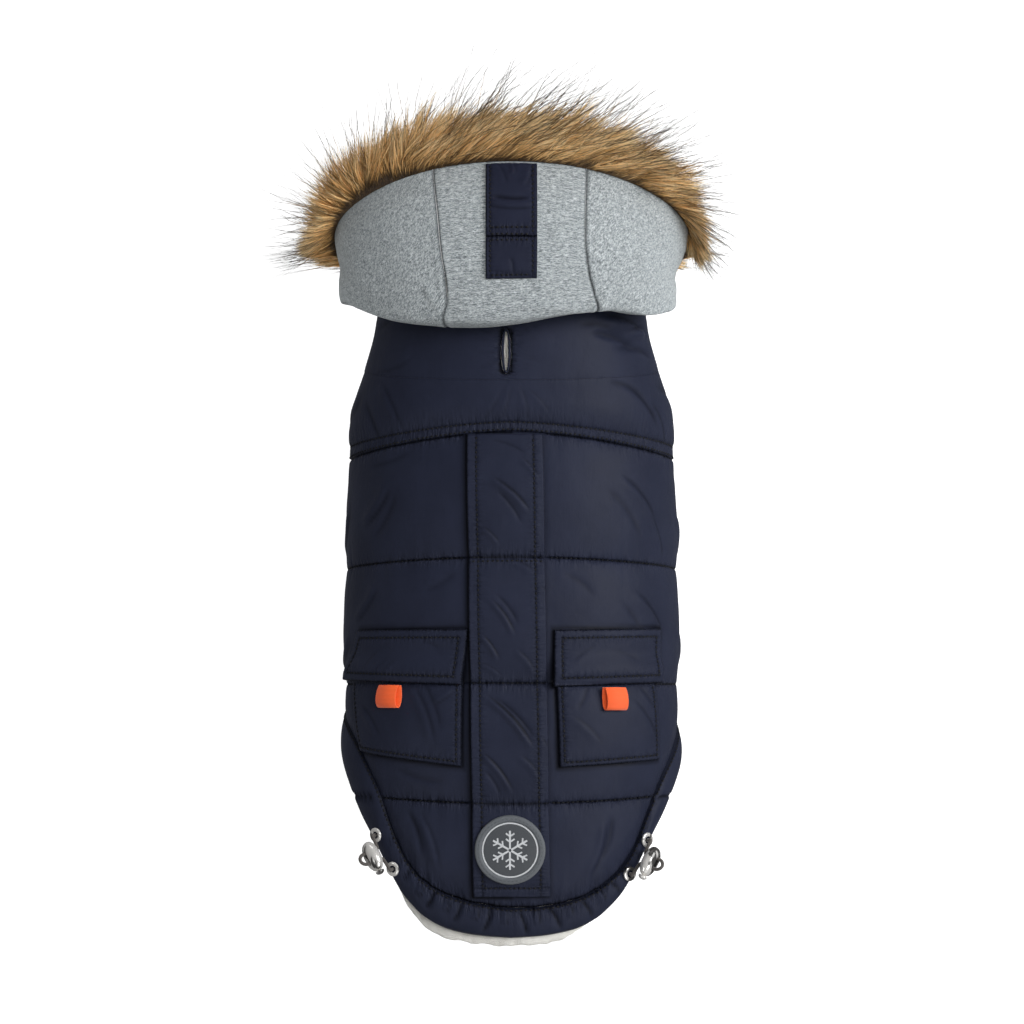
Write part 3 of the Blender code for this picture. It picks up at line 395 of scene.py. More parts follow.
FLAP_CREASES = (
    (-88, 218, -78, 206, 1.3, 0.35), (-82, 220, -72, 210, 1.3, -0.3),
    (-74, 219, -66, 212, 1.2, 0.3),
    (-52, 200, -42, 204, 1.6, -0.25), (36, 214, 50, 204, 1.6, 0.3), (60, 206, 76, 212, 1.8, -0.25),
)
POCKET_CREASES = (
    (-60, 226, -46, 262, 2.6, 0.55), (-52, 224, -40, 252, 2.2, -0.4),
    (-94, 240, -80, 258, 2.6, 0.4),
    (-34, 228, -46, 236, 1.8, 0.5), (44, 226, 38, 240, 2.0, -0.5), (70, 236, 86, 262, 2.6, 0.5),
    (34, 246, 50, 262, 2.2, 0.4), (76, 226, 86, 240, 2.0, -0.4),
)


def crease_parts(across, along, creases):
    """The height and the shadow of listed creases, which fade to their ends.

    A raised crease has a sharp valley on one side, and a sunk one is sharp itself."""
    total = np.zeros(np.broadcast(across, along).shape)
    shade = np.zeros(total.shape)
    for ax, ay, bx, by, half_width, height in creases:
        length = math.hypot(bx - ax, by - ay)
        dx, dy = (bx - ax) / length, (by - ay) / length
        run = (across - ax) * dx + (along - ay) * dy
        bow = 0.06 * length * np.sin(np.pi * np.clip(run / length, 0, 1))
        off = (across - ax) * dy - (along - ay) * dx - bow
        ends = smooth((run + half_width) / (0.35 * length)) * smooth(
            (length + half_width - run) / (0.35 * length))
        soft = np.exp(-(off / half_width) ** 2)
        if height > 0:
            valley = np.exp(-((off - 1.15 * half_width) / (0.42 * half_width)) ** 2)
            total = total + height * ends * (soft - 0.6 * valley)
        else:
            valley = np.exp(-(off / (0.5 * half_width)) ** 2)
            total = total + height * ends * (0.45 * soft + 0.7 * valley)
        shade = np.maximum(shade, ends * min(1.0, abs(height)) * valley)
    return total, shade


def creased(across, along, creases):
    return crease_parts(across, along, creases)[0]


def crease_shade(across, along, creases):
    return crease_parts(across, along, creases)[1]


def puckers(run, distance, pitch, height, reach, seed):
    """Little folds that stand square to a seam and die out away from it."""
    bent = run + 0.9 * noise(flat(run * 0.4, distance, seed), pitch * 2.0, seed + 2)
    size = 0.6 + 0.5 * noise(flat(run, 5.0, seed * 3.1), pitch * 3.1, seed + 1)
    wave = 2.0 * np.abs(noise(flat(bent, 0.0, seed * 7.3), pitch * 0.72, seed)) - 0.62
    return height * 1.5 * size * wave * np.exp(-np.abs(distance) / reach)


def soft_waves(across, along, height, seed):
    """Large, faint unevenness of stuffed cloth."""
    p = flat(across, along, seed * 11.7)
    return height * (0.7 * noise(p, 34.0, seed) + 0.3 * noise(p, 13.0, seed + 1))


# Meshes

def point_attribute(mesh, name, values):
    """Numbers for each vertex: three columns become a vector, one a plain number."""
    values = np.asarray(values, np.float32)
    kind, field = ("FLOAT_VECTOR", "vector") if values.ndim == 2 else ("FLOAT", "value")
    mesh.attributes.new(name, kind, "POINT").data.foreach_set(field, values.ravel())


def mesh_object(name, points, faces, sharp=None):
    """An object from points in millimetres and faces as lists or arrays of indices."""
    mesh = bpy.data.meshes.new(name)
    mesh.from_pydata((np.asarray(points, float) * MM).tolist(), [], faces)
    mesh.shade_smooth()
    if sharp is not None:
        mesh.set_sharp_from_angle(angle=math.radians(sharp))
    obj = bpy.data.objects.new(name, mesh)
    bpy.context.scene.collection.objects.link(obj)
    return obj


def finish_piece(obj, mat, slot, *nodes):
    obj.data.materials.clear()
    obj.data.materials.append(mat)
    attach(obj, "root")
    if nodes:
        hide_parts(*nodes)
    return obj


def grid_quads(index, ring):
    """Faces of a grid of vertex numbers, whose outside looks up where rows go to -Y."""
    right = np.roll(index, -1, 1) if ring else index[:, 1:]
    left = index if ring else index[:, :-1]
    return np.stack([left[:-1], left[1:], right[1:], right[:-1]], -1).reshape(-1, 4).tolist()


def volume_outwards(obj):
    """Turns a closed mesh's faces to look outwards."""
    mesh = obj.data
    volume = sum(mesh.vertices[face.vertices[0]].co.dot(face.normal) * face.area
                 for face in mesh.polygons)
    if volume < 0:
        mesh.flip_normals()
    return obj


def tube(name, rings, closed=False, sharp=None):
    """A mesh of rings of points, led back to its first ring or closed by an end face each way."""
    count, sides = rings.shape[:2]
    obj = mesh_object(name, rings.reshape(-1, 3), tube_faces(count, sides, closed), sharp)
    return volume_outwards(obj)


def tube_faces(count, sides, closed=False):
    index = np.arange(count * sides).reshape(count, sides)
    if closed:
        return grid_quads(np.concatenate([index, index[:1]]), ring=True)
    return grid_quads(index, ring=True) + [index[0].tolist(), index[-1][::-1].tolist()]


def skin(name, fine, plain, cloth, ring=False, fold=None):
    """A closed cloth: a fine grid of points, a plainer grid under it and a border.

    cloth gives each fine point's place in the flat cloth, in millimetres, for the weave.
    fold holds three numbers a point, made from the seams: the painted shade of seams and creases,
    and two gather weights."""
    rows, columns = fine.shape[:2]
    low_rows, low_columns = plain.shape[:2]
    over = np.arange(rows * columns).reshape(rows, columns)
    under = rows * columns + np.arange(low_rows * low_columns).reshape(low_rows, low_columns)
    faces = grid_quads(over, ring) + [face[::-1] for face in grid_quads(under, ring)]

    def close(edge, low, count, turned):
        for i in range(count):
            j = (i + 1) % len(low)
            run = [int(edge[(i * COARSE + k) % len(edge)]) for k in range(COARSE + 1)]
            face = [*run, int(low[j]), int(low[i])]
            faces.append(face[::-1] if turned else face)

    for row, turned in ((0, False), (-1, True)):
        close(over[row], under[row], low_columns if ring else low_columns - 1, turned)
    if not ring:
        for column, turned in ((0, True), (-1, False)):
            close(over[:, column], under[:, column], low_rows - 1, turned)
    points = np.concatenate([fine.reshape(-1, 3), plain.reshape(-1, 3)])
    obj = mesh_object(name, points, faces, sharp=75.0)
    lower = cloth[::COARSE, ::COARSE].reshape(-1, 2)
    place = np.concatenate([cloth.reshape(-1, 2), lower])
    point_attribute(obj.data, "cloth", np.column_stack([place, np.zeros(len(place))]))
    if fold is not None:
        # fold's first number is painted shade in seams and creases; the other two are gather
        # weights
        painted_shade_and_gathers = np.concatenate([np.clip(fold, 0, 1).reshape(-1, 3), np.zeros((len(lower), 3))])
        point_attribute(obj.data, "fold", painted_shade_and_gathers)
    return obj


def steps_for(length, step, coarse=COARSE):
    return max(1, round(length / step / coarse)) * coarse


def band_steps(rows, step, crowding=0.72):
    """Bands and shares down a panel, crowded towards each seam."""
    bands, shares = [], []
    for band, (start, end) in enumerate(zip(rows, rows[1:])):
        count = steps_for(end - start, step)
        t = np.arange(count) / count
        shares.append(lerp(t, 0.5 - 0.5 * np.cos(np.pi * t), crowding))
        bands.append(np.full(count, band))
    return (np.concatenate([*bands, [len(rows) - 2]]).astype(int),
            np.concatenate([*shares, [1.0]]))


def panel_grid(angles, marks, rows, step):
    """Angles and alongs of a panel. marks gives each seam's along at every angle."""
    bands, shares = band_steps(rows, step)
    alongs = lerp(marks[bands], marks[bands + 1], shares[:, None])
    return np.broadcast_to(angles, alongs.shape), alongs


def coat_panel(name, angles, alongs, lift, fold, ring=False):
    """Cloth on the coat's surface. lift and fold are functions of angle and along; fold gives the
    painted shade and the gathers.
    """
    fine = coat_point(angles, alongs, lift(angles, alongs))
    plain = coat_point(angles[::COARSE, ::COARSE], alongs[::COARSE, ::COARSE])
    cloth = np.stack([across_of(angles, alongs), alongs], -1)
    return skin(name, fine, plain, cloth, ring, fold(angles, alongs))


def tuck(distance, reach):
    """1 on a sewn line and 0 away from it."""
    return np.exp(-(distance / reach) ** 2)


LEVEL, UPRIGHT = 0, 1


def seam_shade_and_gathers(*seams, creases=0.0):
    """How dark cloth is painted as shade in its seams and creases, and how far it is gathered by
    level and upright seams.

    A seam is (distance, depth, reach, LEVEL or UPRIGHT, how far its gathers spread)."""
    fold, gathers = np.asarray(creases, float), [0.0, 0.0]
    for distance, depth, reach, way, across in seams:
        fold = np.maximum(fold, depth * tuck(distance, reach))
        gathers[way] = np.maximum(gathers[way], depth * np.exp(-np.abs(distance) / across))
    return np.stack(np.broadcast_arrays(fold, *gathers), -1)


def level_angles(first, last, step):
    """Angles from first to last that lie a step apart on the cloth."""
    start, end = (float(across_of(angle, WIDEST_ALONG)) for angle in (first, last))
    places = np.linspace(start, end, steps_for(end - start, step) + 1)
    angles = angle_of(places, WIDEST_ALONG)
    angles[0], angles[-1] = first, last
    return angles


def back_angles():
    """Angles from one side seam to the other, over the back."""
    end = SIDE_SEAM_ANGLE - SIDE_GAP_ANGLE
    return level_angles(-end, end, 1.3)


def round_angles(step, coarse=COARSE):
    """Angles all round, a step apart on the cloth, from the belly back to the belly."""
    half = float(across_of(180.0 - 1e-6, WIDEST_ALONG))
    count = steps_for(2 * half, step, coarse)
    return angle_of(half * (2 * np.arange(count) / count - 1), WIDEST_ALONG)


def cut_out(obj, cutters):
    for cutter in cutters:
        modifier = obj.modifiers.new("cut", "BOOLEAN")
        modifier.operation = "DIFFERENCE"
        modifier.solver = "MANIFOLD"
        modifier.object = cutter
    graph = bpy.context.evaluated_depsgraph_get()
    mesh = bpy.data.meshes.new_from_object(obj.evaluated_get(graph))
    obj.modifiers.clear()
    obj.data = mesh


def plug(name, loop, half):
    """A closed prism to cut with. half leads from the loop in its middle to its upper end."""
    sides = len(loop)
    faces = [(i, (i + 1) % sides, sides + (i + 1) % sides, sides + i) for i in range(sides)]
    faces += [tuple(range(sides))[::-1], tuple(range(sides, 2 * sides))]
    return volume_outwards(mesh_object(name, np.concatenate([loop - half, loop + half]), faces))


def stadium_cutter(name, angle, along, length, width, depth, oval=False):
    """A plug with round ends, or an oval one, that goes through the cloth."""
    sideways, tailward, outward = coat_frame(angle, along)
    turn = turns(72, 0.5)
    x, y = width / 2 * np.cos(turn), width / 2 * np.sin(turn)
    y = length / 2 * np.sin(turn) if oval else y + np.sign(y) * (length - width) / 2
    loop = coat_point(angle, along) + x[:, None] * sideways + y[:, None] * tailward
    return plug(name, loop, outward * depth / 2)


def sweep(centres, frames_x, frames_y, profile):
    """Rings of a profile led along a line of frames."""
    profile = np.asarray(profile, float)
    if profile.ndim == 2:
        profile = np.broadcast_to(profile, (len(centres), *profile.shape))
    return (centres[:, None] + frames_x[:, None] * profile[..., :1]
            + frames_y[:, None] * profile[..., 1:])


def carry_frames(line, up):
    """Tangent, side and upright directions along a line, turned as little as can be."""
    tangents = unit(np.gradient(line, axis=0))
    sides, ups = [], []
    current = np.asarray(up, float)
    for tangent in tangents:
        current = current - tangent * current.dot(tangent)
        current = current / np.linalg.norm(current)
        ups.append(current)
        sides.append(np.cross(current, tangent))
    return tangents, np.array(sides), np.array(ups)


def resample(line, step, extra=()):
    """Even steps on a polyline, with any extra arrays read at the same places."""
    run = walked(line)
    at = np.linspace(0.0, run[-1], max(2, round(run[-1] / step) + 1))

    def read(values):
        return np.stack([np.interp(at, run, column) for column in np.transpose(values)], -1)

    return (read(line), *(read(values) for values in extra)) if extra else read(line)


# Materials

def add_node(mat, kind, inputs=(), **settings):
    """A shader node, with its inputs set to numbers or linked to other sockets."""
    made = mat.node_tree.nodes.new(f"ShaderNode{kind}")
    for key, value in settings.items():
        setattr(made, key, value)
    for key, value in dict(inputs).items():
        if isinstance(value, bpy.types.NodeSocket):
            mat.node_tree.links.new(value, made.inputs[key])
        else:
            made.inputs[key].default_value = value
    return made


def colour(red, green, blue):
    return (red, green, blue, 1.0)


def shades(tint, *shares):
    """A colour made darker or paler by shares."""
    return [colour(*(channel * share for channel in tint)) for share in shares]


def ramp(mat, factor, stops):
    """A colour ramp. stops are (place, colour)."""
    made = add_node(mat, "ValToRGB", {"Fac": factor})
    elements = made.color_ramp.elements
    while len(elements) < len(stops):
        elements.new(0.5)
    for element, (place, value) in zip(elements, stops):
        element.position = place
        element.color = value
    return made.outputs["Color"]


def mix(mat, factor, a, b, blend="MIX"):
    return add_node(mat, "Mix", {0: factor, 6: a, 7: b}, data_type="RGBA",
                    blend_type=blend).outputs[2]


def maths(mat, operation, a, b=0.0):
    return add_node(mat, "Math", {0: a, 1: b}, operation=operation).outputs[0]


def products(mat, *pairs):
    """The sum of products of two values each."""
    total, *rest = (maths(mat, "MULTIPLY", *pair) for pair in pairs)
    for value in rest:
        total = maths(mat, "ADD", total, value)
    return total


def spread(mat, value, low, high):
    """A 0 to 1 value, mapped to low to high."""
    return add_node(mat, "MapRange", {"Value": value, "To Min": low, "To Max": high}).outputs[0]


def noise_node(mat, vector, scale, detail=3.0, roughness=0.5):
    return add_node(mat, "TexNoise", {"Vector": vector, "Scale": scale, "Detail": detail,
                                      "Roughness": roughness}).outputs["Fac"]


def stretched(mat, vector, x, y, z=1.0):
    return add_node(mat, "Mapping", {"Vector": vector, "Scale": (x, y, z)}).outputs[0]


def bump(mat, height, distance, strength=1.0, below=None):
    inputs = {"Height": height, "Distance": distance * MM, "Strength": strength}
    if below is not None:
        inputs["Normal"] = below
    return add_node(mat, "Bump", inputs).outputs[0]


def attribute(mat, name, output="Vector"):
    return add_node(mat, "Attribute", attribute_name=name).outputs[output]


def parts_of(mat, vector):
    return add_node(mat, "SeparateXYZ", {"Vector": vector}).outputs


def space_place(mat):
    """The place in space, in millimetres."""
    place = add_node(mat, "TexCoord").outputs["Object"]
    return stretched(mat, place, 1 / MM, 1 / MM, 1 / MM)


def new_material(name, **constants):
    """A material whose shader has these inputs set straight on it."""
    mat = bpy.data.materials.new(name)
    mat.use_nodes = True
    shader = mat.node_tree.nodes["Principled BSDF"]
    for key, value in constants.items():
        shader.inputs[key.replace("_", " ")].default_value = value
    return mat


def finish_shader(mat, **sockets):
    shader = mat.node_tree.nodes["Principled BSDF"]
    for key, value in sockets.items():
        mat.node_tree.links.new(value, shader.inputs[key.replace("_", " ")])
    return mat


def ribs(mat, part, pitch):
    """Waves from -1 to 1 at a pitch in millimetres."""
    return maths(mat, "SINE", maths(mat, "MULTIPLY", part, 2 * math.pi / pitch))


def weave(mat, place, pitch):
    """Crossing threads, 0 to 1, at a pitch in millimetres."""
    parts = parts_of(mat, place)
    crossing = products(mat, [ribs(mat, parts[k], pitch) for k in (0, 1)])
    return maths(mat, "MULTIPLY_ADD", crossing, 0.5)


def nylon_material(name, tint, roughness, pitch):
    """Plain-woven nylon, nearly matt, with painted shade in its seams, creases and the hollows of
    its gathers, and finely gathered beside the seams.
    """
    mat = new_material(name, Sheen_Weight=0.015, Sheen_Roughness=0.45, Specular_IOR_Level=0.09,
                       Sheen_Tint=colour(0.55, 0.62, 0.85))
    cloth = attribute(mat, "cloth")
    fold, level, upright = parts_of(mat, attribute(mat, "fold"))
    patchy = noise_node(mat, space_place(mat), 0.035, 3.0)
    threads = noise_node(mat, stretched(mat, cloth, 1.7, 0.06), 1.0, 2.0)
    beside_level, beside_upright = (
        maths(mat, "SUBTRACT", noise_node(mat, stretched(mat, cloth, x, y), 1.0, 3.0, 0.6), 0.5)
        for x, y in ((0.50, 0.11), (0.11, 0.50)))
    gathers = products(mat, (level, beside_level), (upright, beside_upright))
    low, high, pale, dark = shades(tint, 0.88, 1.12, 1.5, 0.14)
    base = ramp(mat, patchy, ((0.3, low), (0.7, high)))
    base = mix(mat, spread(mat, threads, 0.0, 0.24), base, pale)
    # Painted shade: the fold attribute's share and the hollows of the gathers darken the cloth
    # towards dark
    painted_gather_shade = maths(mat, "MAXIMUM", maths(mat, "MULTIPLY", gathers, -2.6), 0.0)
    base = mix(mat, maths(mat, "MINIMUM", maths(mat, "ADD", fold, painted_gather_shade), 1.0), base, dark)
    crinkle = noise_node(mat, stretched(mat, cloth, 0.11, 0.07), 1.0, 3.0, 0.5)
    normal = bump(mat, crinkle, 0.8, 0.5)
    normal = bump(mat, gathers, 4.2, 1.0, normal)
    normal = bump(mat, threads, 0.05, 0.5, normal)
    normal = bump(mat, weave(mat, cloth, pitch), 0.03, 0.5, normal)
    rough = spread(mat, patchy, roughness - 0.04, roughness + 0.05)
    return finish_shader(mat, Base_Color=base, Roughness=rough, Normal=normal)


def jersey_material(name, across_grain, along_grain, lean):
    """Heather grey jersey: pale and dark fibres in short slubs, and a brushed face."""
    mat = new_material(name, Sheen_Weight=0.2, Sheen_Roughness=0.6, Roughness=0.92,
                       Specular_IOR_Level=0.15, Sheen_Tint=colour(0.85, 0.9, 0.92))
    cloth = attribute(mat, "cloth")
    turned = add_node(mat, "Mapping", {"Vector": cloth, "Rotation": (0.0, 0.0, lean)}).outputs[0]
    grain = stretched(mat, turned, across_grain, along_grain)
    long_slubs = noise_node(mat, grain, 0.20, 4.0, 0.62)
    short_slubs = noise_node(mat, grain, 0.62, 3.0, 0.62)
    fibres = noise_node(mat, grain, 1.5, 2.0, 0.6)
    mixed = products(mat, (long_slubs, 0.20), (short_slubs, 0.42), (fibres, 0.38))
    base = ramp(mat, mixed, ((0.42, colour(0.105, 0.123, 0.132)),
                             (0.465, colour(0.225, 0.252, 0.265)),
                             (0.52, colour(0.385, 0.420, 0.433)),
                             (0.58, colour(0.640, 0.680, 0.692))))
    # Painted shade: the hood's seams are darkened by the fold attribute's share
    fold = parts_of(mat, attribute(mat, "fold"))[0]
    base = mix(mat, fold, base, colour(0.045, 0.052, 0.058))
    normal = bump(mat, mixed, 0.45, 0.6)
    normal = bump(mat, weave(mat, cloth, 0.9), 0.07, 0.6, normal)
    return finish_shader(mat, Base_Color=base, Normal=normal)


def sherpa_material():
    mat = new_material("sherpa_pile", Roughness=1.0, Sheen_Weight=0.5, Sheen_Roughness=0.7,
                       Specular_IOR_Level=0.1)
    # Painted shade: the clefts between lumps of pile are darker, the lumps' tops paler
    base = ramp(mat, attribute(mat, "lump", "Fac"), (
        (0.0, colour(0.50, 0.48, 0.43)), (0.35, colour(0.82, 0.80, 0.74)),
        (0.9, colour(0.95, 0.94, 0.88))))
    wool = noise_node(mat, space_place(mat), 1.9, 4.0, 0.7)
    base = mix(mat, spread(mat, wool, 0.0, 0.5), base, colour(0.92, 0.90, 0.84))
    return finish_shader(mat, Base_Color=base, Normal=bump(mat, wool, 0.9, 0.8))


def fur_material():
    """Dark at the root, tan in the middle and pale or black at the tip, by strand class."""
    mat = new_material("fur_hairs", Roughness=0.45, Sheen_Weight=0.10, Sheen_Roughness=0.45,
                       Specular_IOR_Level=0.40, Sheen_Tint=colour(1.0, 0.85, 0.6))
    place = add_node(mat, "UVMap", uv_map="OFBake").outputs[0]
    kind, up, _ = parts_of(mat, place)
    under = ramp(mat, up, ((0.0, colour(0.080, 0.050, 0.024)), (0.12, colour(0.200, 0.128, 0.056)),
                           (0.28, colour(0.740, 0.475, 0.200)), (0.55, colour(1.000, 0.710, 0.340)),
                           (0.92, colour(1.000, 0.860, 0.560))))
    guard = ramp(mat, up, ((0.0, colour(0.07, 0.05, 0.03)), (0.20, colour(0.40, 0.26, 0.11)),
                           (0.38, colour(0.50, 0.33, 0.15)), (0.52, colour(0.070, 0.048, 0.030)),
                           (0.72, colour(0.012, 0.010, 0.010))))
    is_guard = maths(mat, "GREATER_THAN", kind, GUARD_FROM)
    base = mix(mat, is_guard, under, guard)
    varied = add_node(mat, "TexWhiteNoise", {"W": maths(mat, "FLOOR", maths(
        mat, "MULTIPLY", kind, float(FUR_CLASSES)))}, noise_dimensions="1D").outputs["Value"]
    warm = ramp(mat, varied, ((0.0, colour(0.15, 0.13, 0.105)), (0.18, colour(0.56, 0.49, 0.40)),
                              (0.40, colour(1.0, 0.90, 0.78)), (1.0, colour(1.0, 0.99, 0.98))))
    return finish_shader(mat, Base_Color=mix(mat, 1.0, base, warm, "MULTIPLY"))


def ribbed_material(name, tint, pitch, roughness):
    """Ribbed ribbon or webbing: ribs run across the cloth, with painted shade in their valleys."""
    mat = new_material(name, Roughness=roughness, Sheen_Weight=0.25, Specular_IOR_Level=0.4)
    rib = maths(mat, "MULTIPLY_ADD", ribs(mat, parts_of(mat, attribute(mat, "cloth"))[0], pitch),
                0.5)
    uneven = noise_node(mat, space_place(mat), 0.22, 3.0)
    low, high = shades(tint, 0.84, 1.04)
    # Painted shade: the rib valleys are darker than the rib crests
    base = mix(mat, spread(mat, uneven, 0.0, 0.3), ramp(mat, rib, ((0.1, low), (0.8, high))), low)
    return finish_shader(mat, Base_Color=base, Normal=bump(mat, rib, 0.12, 0.8))


def metal_material(name, tint):
    """Polished metal whose colour has dark and pale bands painted in it, a painted reflection of a
    room.
    """
    mat = new_material(name, Metallic=0.5)
    space = space_place(mat)
    # Painted reflection: dark and pale bands in the base colour
    bands = noise_node(mat, stretched(mat, space, 0.16, 0.05, 0.30), 1.0, 2.0, 0.4)
    low, middle, high = shades(tint, 0.10, 0.86, 1.0)
    base = ramp(mat, bands, ((0.41, low), (0.45, middle), (0.56, high)))
    uneven = noise_node(mat, space, 0.12, 3.0)
    return finish_shader(mat, Base_Color=base, Roughness=spread(mat, uneven, 0.12, 0.20),
                         Normal=bump(mat, uneven, 0.01, 0.5))


def plain_material(name, tint, roughness, metallic=0.0, scale=0.6, depth=0.05, contrast=0.15):
    """A moulded or cast surface, a little uneven in colour, gloss and level."""
    mat = new_material(name, Metallic=metallic)
    space = space_place(mat)
    uneven = noise_node(mat, space, scale, 4.0, 0.6)
    low, high = shades(tint, 1 - contrast, 1 + contrast)
    base = ramp(mat, uneven, ((0.3, low), (0.7, high)))
    rough = spread(mat, uneven, roughness * 0.85, roughness * 1.2)
    return finish_shader(mat, Base_Color=base, Roughness=rough,
                         Normal=bump(mat, uneven, depth, 0.6))


FUR_CLASSES = 64
GUARD_FROM = 0.83
NAVY = nylon_material("navy_nylon", (0.0168, 0.0200, 0.0375), 0.48, 0.42)
NAVY_TAPE = nylon_material("navy_webbing_cloth", (0.0140, 0.0165, 0.0320), 0.52, 0.55)
JERSEY_CENTRE = jersey_material("grey_jersey_crosswise", 0.65, 2.5, 0.0)
JERSEY_SIDE = jersey_material("grey_jersey_lengthwise", 2.4, 0.7, 0.5)
SHERPA = sherpa_material()
FUR = fur_material()
FUR_SKIN = plain_material("fur_backing", (0.050, 0.030, 0.017), 0.9, scale=0.9, depth=0.8,
                          contrast=0.5)
ORANGE = ribbed_material("orange_ribbed_ribbon", (1.0, 0.130, 0.022), 0.75, 0.62)
THREAD = plain_material("navy_thread", (0.0010, 0.0013, 0.0026), 0.8, scale=2.0)
RUBBER = plain_material("moulded_grey_rubber", (0.052, 0.058, 0.066), 0.55, scale=1.5, depth=0.06)
RUBBER_RIM = plain_material("pale_grey_rubber", (0.098, 0.108, 0.120), 0.6, scale=1.5, depth=0.1)
RUBBER_LINE = plain_material("white_rubber_line", (0.56, 0.58, 0.60), 0.55, scale=1.5)
METAL = metal_material("polished_steel", (0.92, 0.90, 0.87))
ELASTIC = ribbed_material("braided_elastic", (0.085, 0.076, 0.070), 1.1, 0.6)

# Sewing

THREADS = []


def sew(line, normals, pitch=2.95, length=1.85, width=1.3, kind="navy"):
    """Stitches along a line on the cloth, kept until all are made as one mesh."""
    line, normals = resample(np.asarray(line), step=pitch / 4, extra=(np.asarray(normals),))
    middle, before, after = line[2:-2:4], line[1:-3:4], line[3:-1:4]
    count = min(len(middle), len(after))
    heading = unit(after[:count] - before[:count])
    THREADS.append((kind, middle[:count], heading, unit(normals[2:-2:4][:count]),
                    length, width))


def make_threads(kind, name, mat, slot):
    """Every stitch of one kind as a joined mesh of short bent capsules."""
    places = (-0.5, -0.3, 0.3, 0.5)
    girths = (0.4, 1.0, 1.0, 0.4)
    arches = (-0.45, 0.0, 0.0, -0.45)
    points, faces, total = [], [], 0
    for made, middles, headings, normals, length, width in THREADS:
        if made != kind:
            continue
        sides = np.cross(normals, headings)
        rings = []
        for place, girth, arch in zip(places, girths, arches):
            centre = middles + headings * place * length + normals * arch * width
            for k in range(4):
                turn = math.pi * (k + 0.5) / 2
                rings.append(centre + (sides * math.cos(turn) + normals * 0.6 * math.sin(turn))
                             * girth * width / 2)
        points.append(np.stack(rings, 1).reshape(-1, 3))
        index = total + np.arange(len(middles) * 16).reshape(-1, 4, 4)
        for k in range(4):
            j = (k + 1) % 4
            faces.append(np.stack([index[:, :-1, k], index[:, :-1, j], index[:, 1:, j],
                                   index[:, 1:, k]], -1).reshape(-1, 4))
        faces += [index[:, 0, ::-1], index[:, -1]]
        total += len(middles) * 16
    obj = mesh_object(name, np.concatenate(points), np.concatenate(faces).tolist())
    return finish_piece(obj, mat, slot)


def sew_coat(angles, alongs, lift, **how):
    """Stitches on the coat along a line of angles and alongs."""
    sew(coat_point(angles, alongs, lift(angles, alongs) + STITCH_LIFT),
        coat_normal(angles, alongs), **how)


def line_between(start, end):
    count = max(2, round(np.linalg.norm(end - start)) + 1)
    return start + (end - start) * np.linspace(0, 1, count)[:, None]


# Where patches lie on the back. Corners are (across, along): upper left, upper right,
# lower right, lower left

PLACKET_TOP, PLACKET_END = 76.0, 350.5
PLACKET_LEFT, PLACKET_RIGHT = (-26.4, -22.2), (18.4, 22.6)
PLACKET = ((PLACKET_LEFT[0], PLACKET_TOP), (PLACKET_RIGHT[0], PLACKET_TOP),
           (PLACKET_RIGHT[1], PLACKET_END), (PLACKET_LEFT[1], PLACKET_END))
PLACKET_STITCHES = 5.8
PLACKET_LAST_STITCHES = 344.6
FLAPS = {"left": ((-98.5, 193.0), (-25.0, 193.0), (-28.5, 226.0), (-111.5, 223.5)),
         "right": ((24.5, 193.5), (94.0, 192.0), (93.0, 225.0), (24.0, 227.0))}
BAGS = {"left": ((-106.0, 222.0), (-28.5, 222.0), (-28.5, 274.0), (-95.5, 266.5)),
        "right": ((26.0, 223.0), (90.0, 222.0), (91.0, 271.0), (27.5, 274.5))}
PATCHES = (PLACKET, *FLAPS.values(), *BAGS.values())
FLAP_STITCHES = 4.9
BAG_STITCHES = 3.0
RIBBONS = {"left": -69.5, "right": 58.0}
FLAP_RISE = 3.9
BAG_PUFF = 1.5
BAG_GAP = 0.9
BADGE_PLACE = (-0.8, 322.0)
BADGE_RADIUS = 20.0
BADGE_FACE = 1.35
SLOT = {"angle": -1.5, "along": 27.0, "length": 27.0, "width": 6.4}
SLOT_ACROSS = float(across_of(SLOT["angle"], SLOT["along"]))
LEG_HOLE = {"along": 90.0, "length": 58.0, "width": 46.0}
LEG_HOLE_ANGLE = 143.0
LEG_HOLE_REACH = LEG_HOLE["width"] / 2
LEG_HOLE_STRAIGHT = (LEG_HOLE["length"] - LEG_HOLE["width"]) / 2
LEG_STITCHES = 5.0


def side_distances(across, along, corners):
    """How far inside each of the four sides a place is: top, right, bottom and left."""
    found = []
    for (ax, ay), (bx, by) in zip(corners, (*corners[1:], corners[0])):
        length = math.hypot(bx - ax, by - ay)
        found.append(((along - ay) * (bx - ax) - (across - ax) * (by - ay)) / length)
    return found


def edge_distance(across, along, corners):
    """How far inside four corners a place is. It is negative outside them."""
    return np.minimum.reduce(side_distances(across, along, corners))


def covered(across, along):
    """1 where a patch lies on the quilting, falling softly to 0 outside it."""
    return np.maximum.reduce([smooth((edge_distance(across, along, corners) + 3.5) / 3.5)
                              for corners in PATCHES])


ROUND = np.linspace(-180.0, 180.0, 721)
HEM_RUN = walked(base_point(ROUND, hem_seam(ROUND)))


def hem_run(angle):
    """The distance round the tail hem."""
    return np.interp(signed_angle(angle), ROUND, HEM_RUN)


def rolled(distance, radius):
    """A rounded edge: 0 at the edge, 1 from the radius inwards."""
    t = 1.0 - np.clip(distance / radius, 0.0, 1.0)
    return np.sqrt(1.0 - t * t)


def gathering(angle):
    """How far the hem is gathered: most at the tail, least over the sides."""
    aside = from_top(angle)
    return 0.16 + 0.84 * smooth((47.0 - aside) / 14.0) + 0.4 * smooth((aside - 105.0) / 25.0)


def hem_puckers(angle, along):
    """Gathers that start at the hem seam and run up into the last row of quilting."""
    run = hem_run(angle)
    above = hem_seam(angle) - along
    folds = puckers(run, above, 6.2, 0.62, 8.0, 31) + puckers(run, above, 12.0, 0.5, 16.0, 33)
    return folds * gathering(angle)


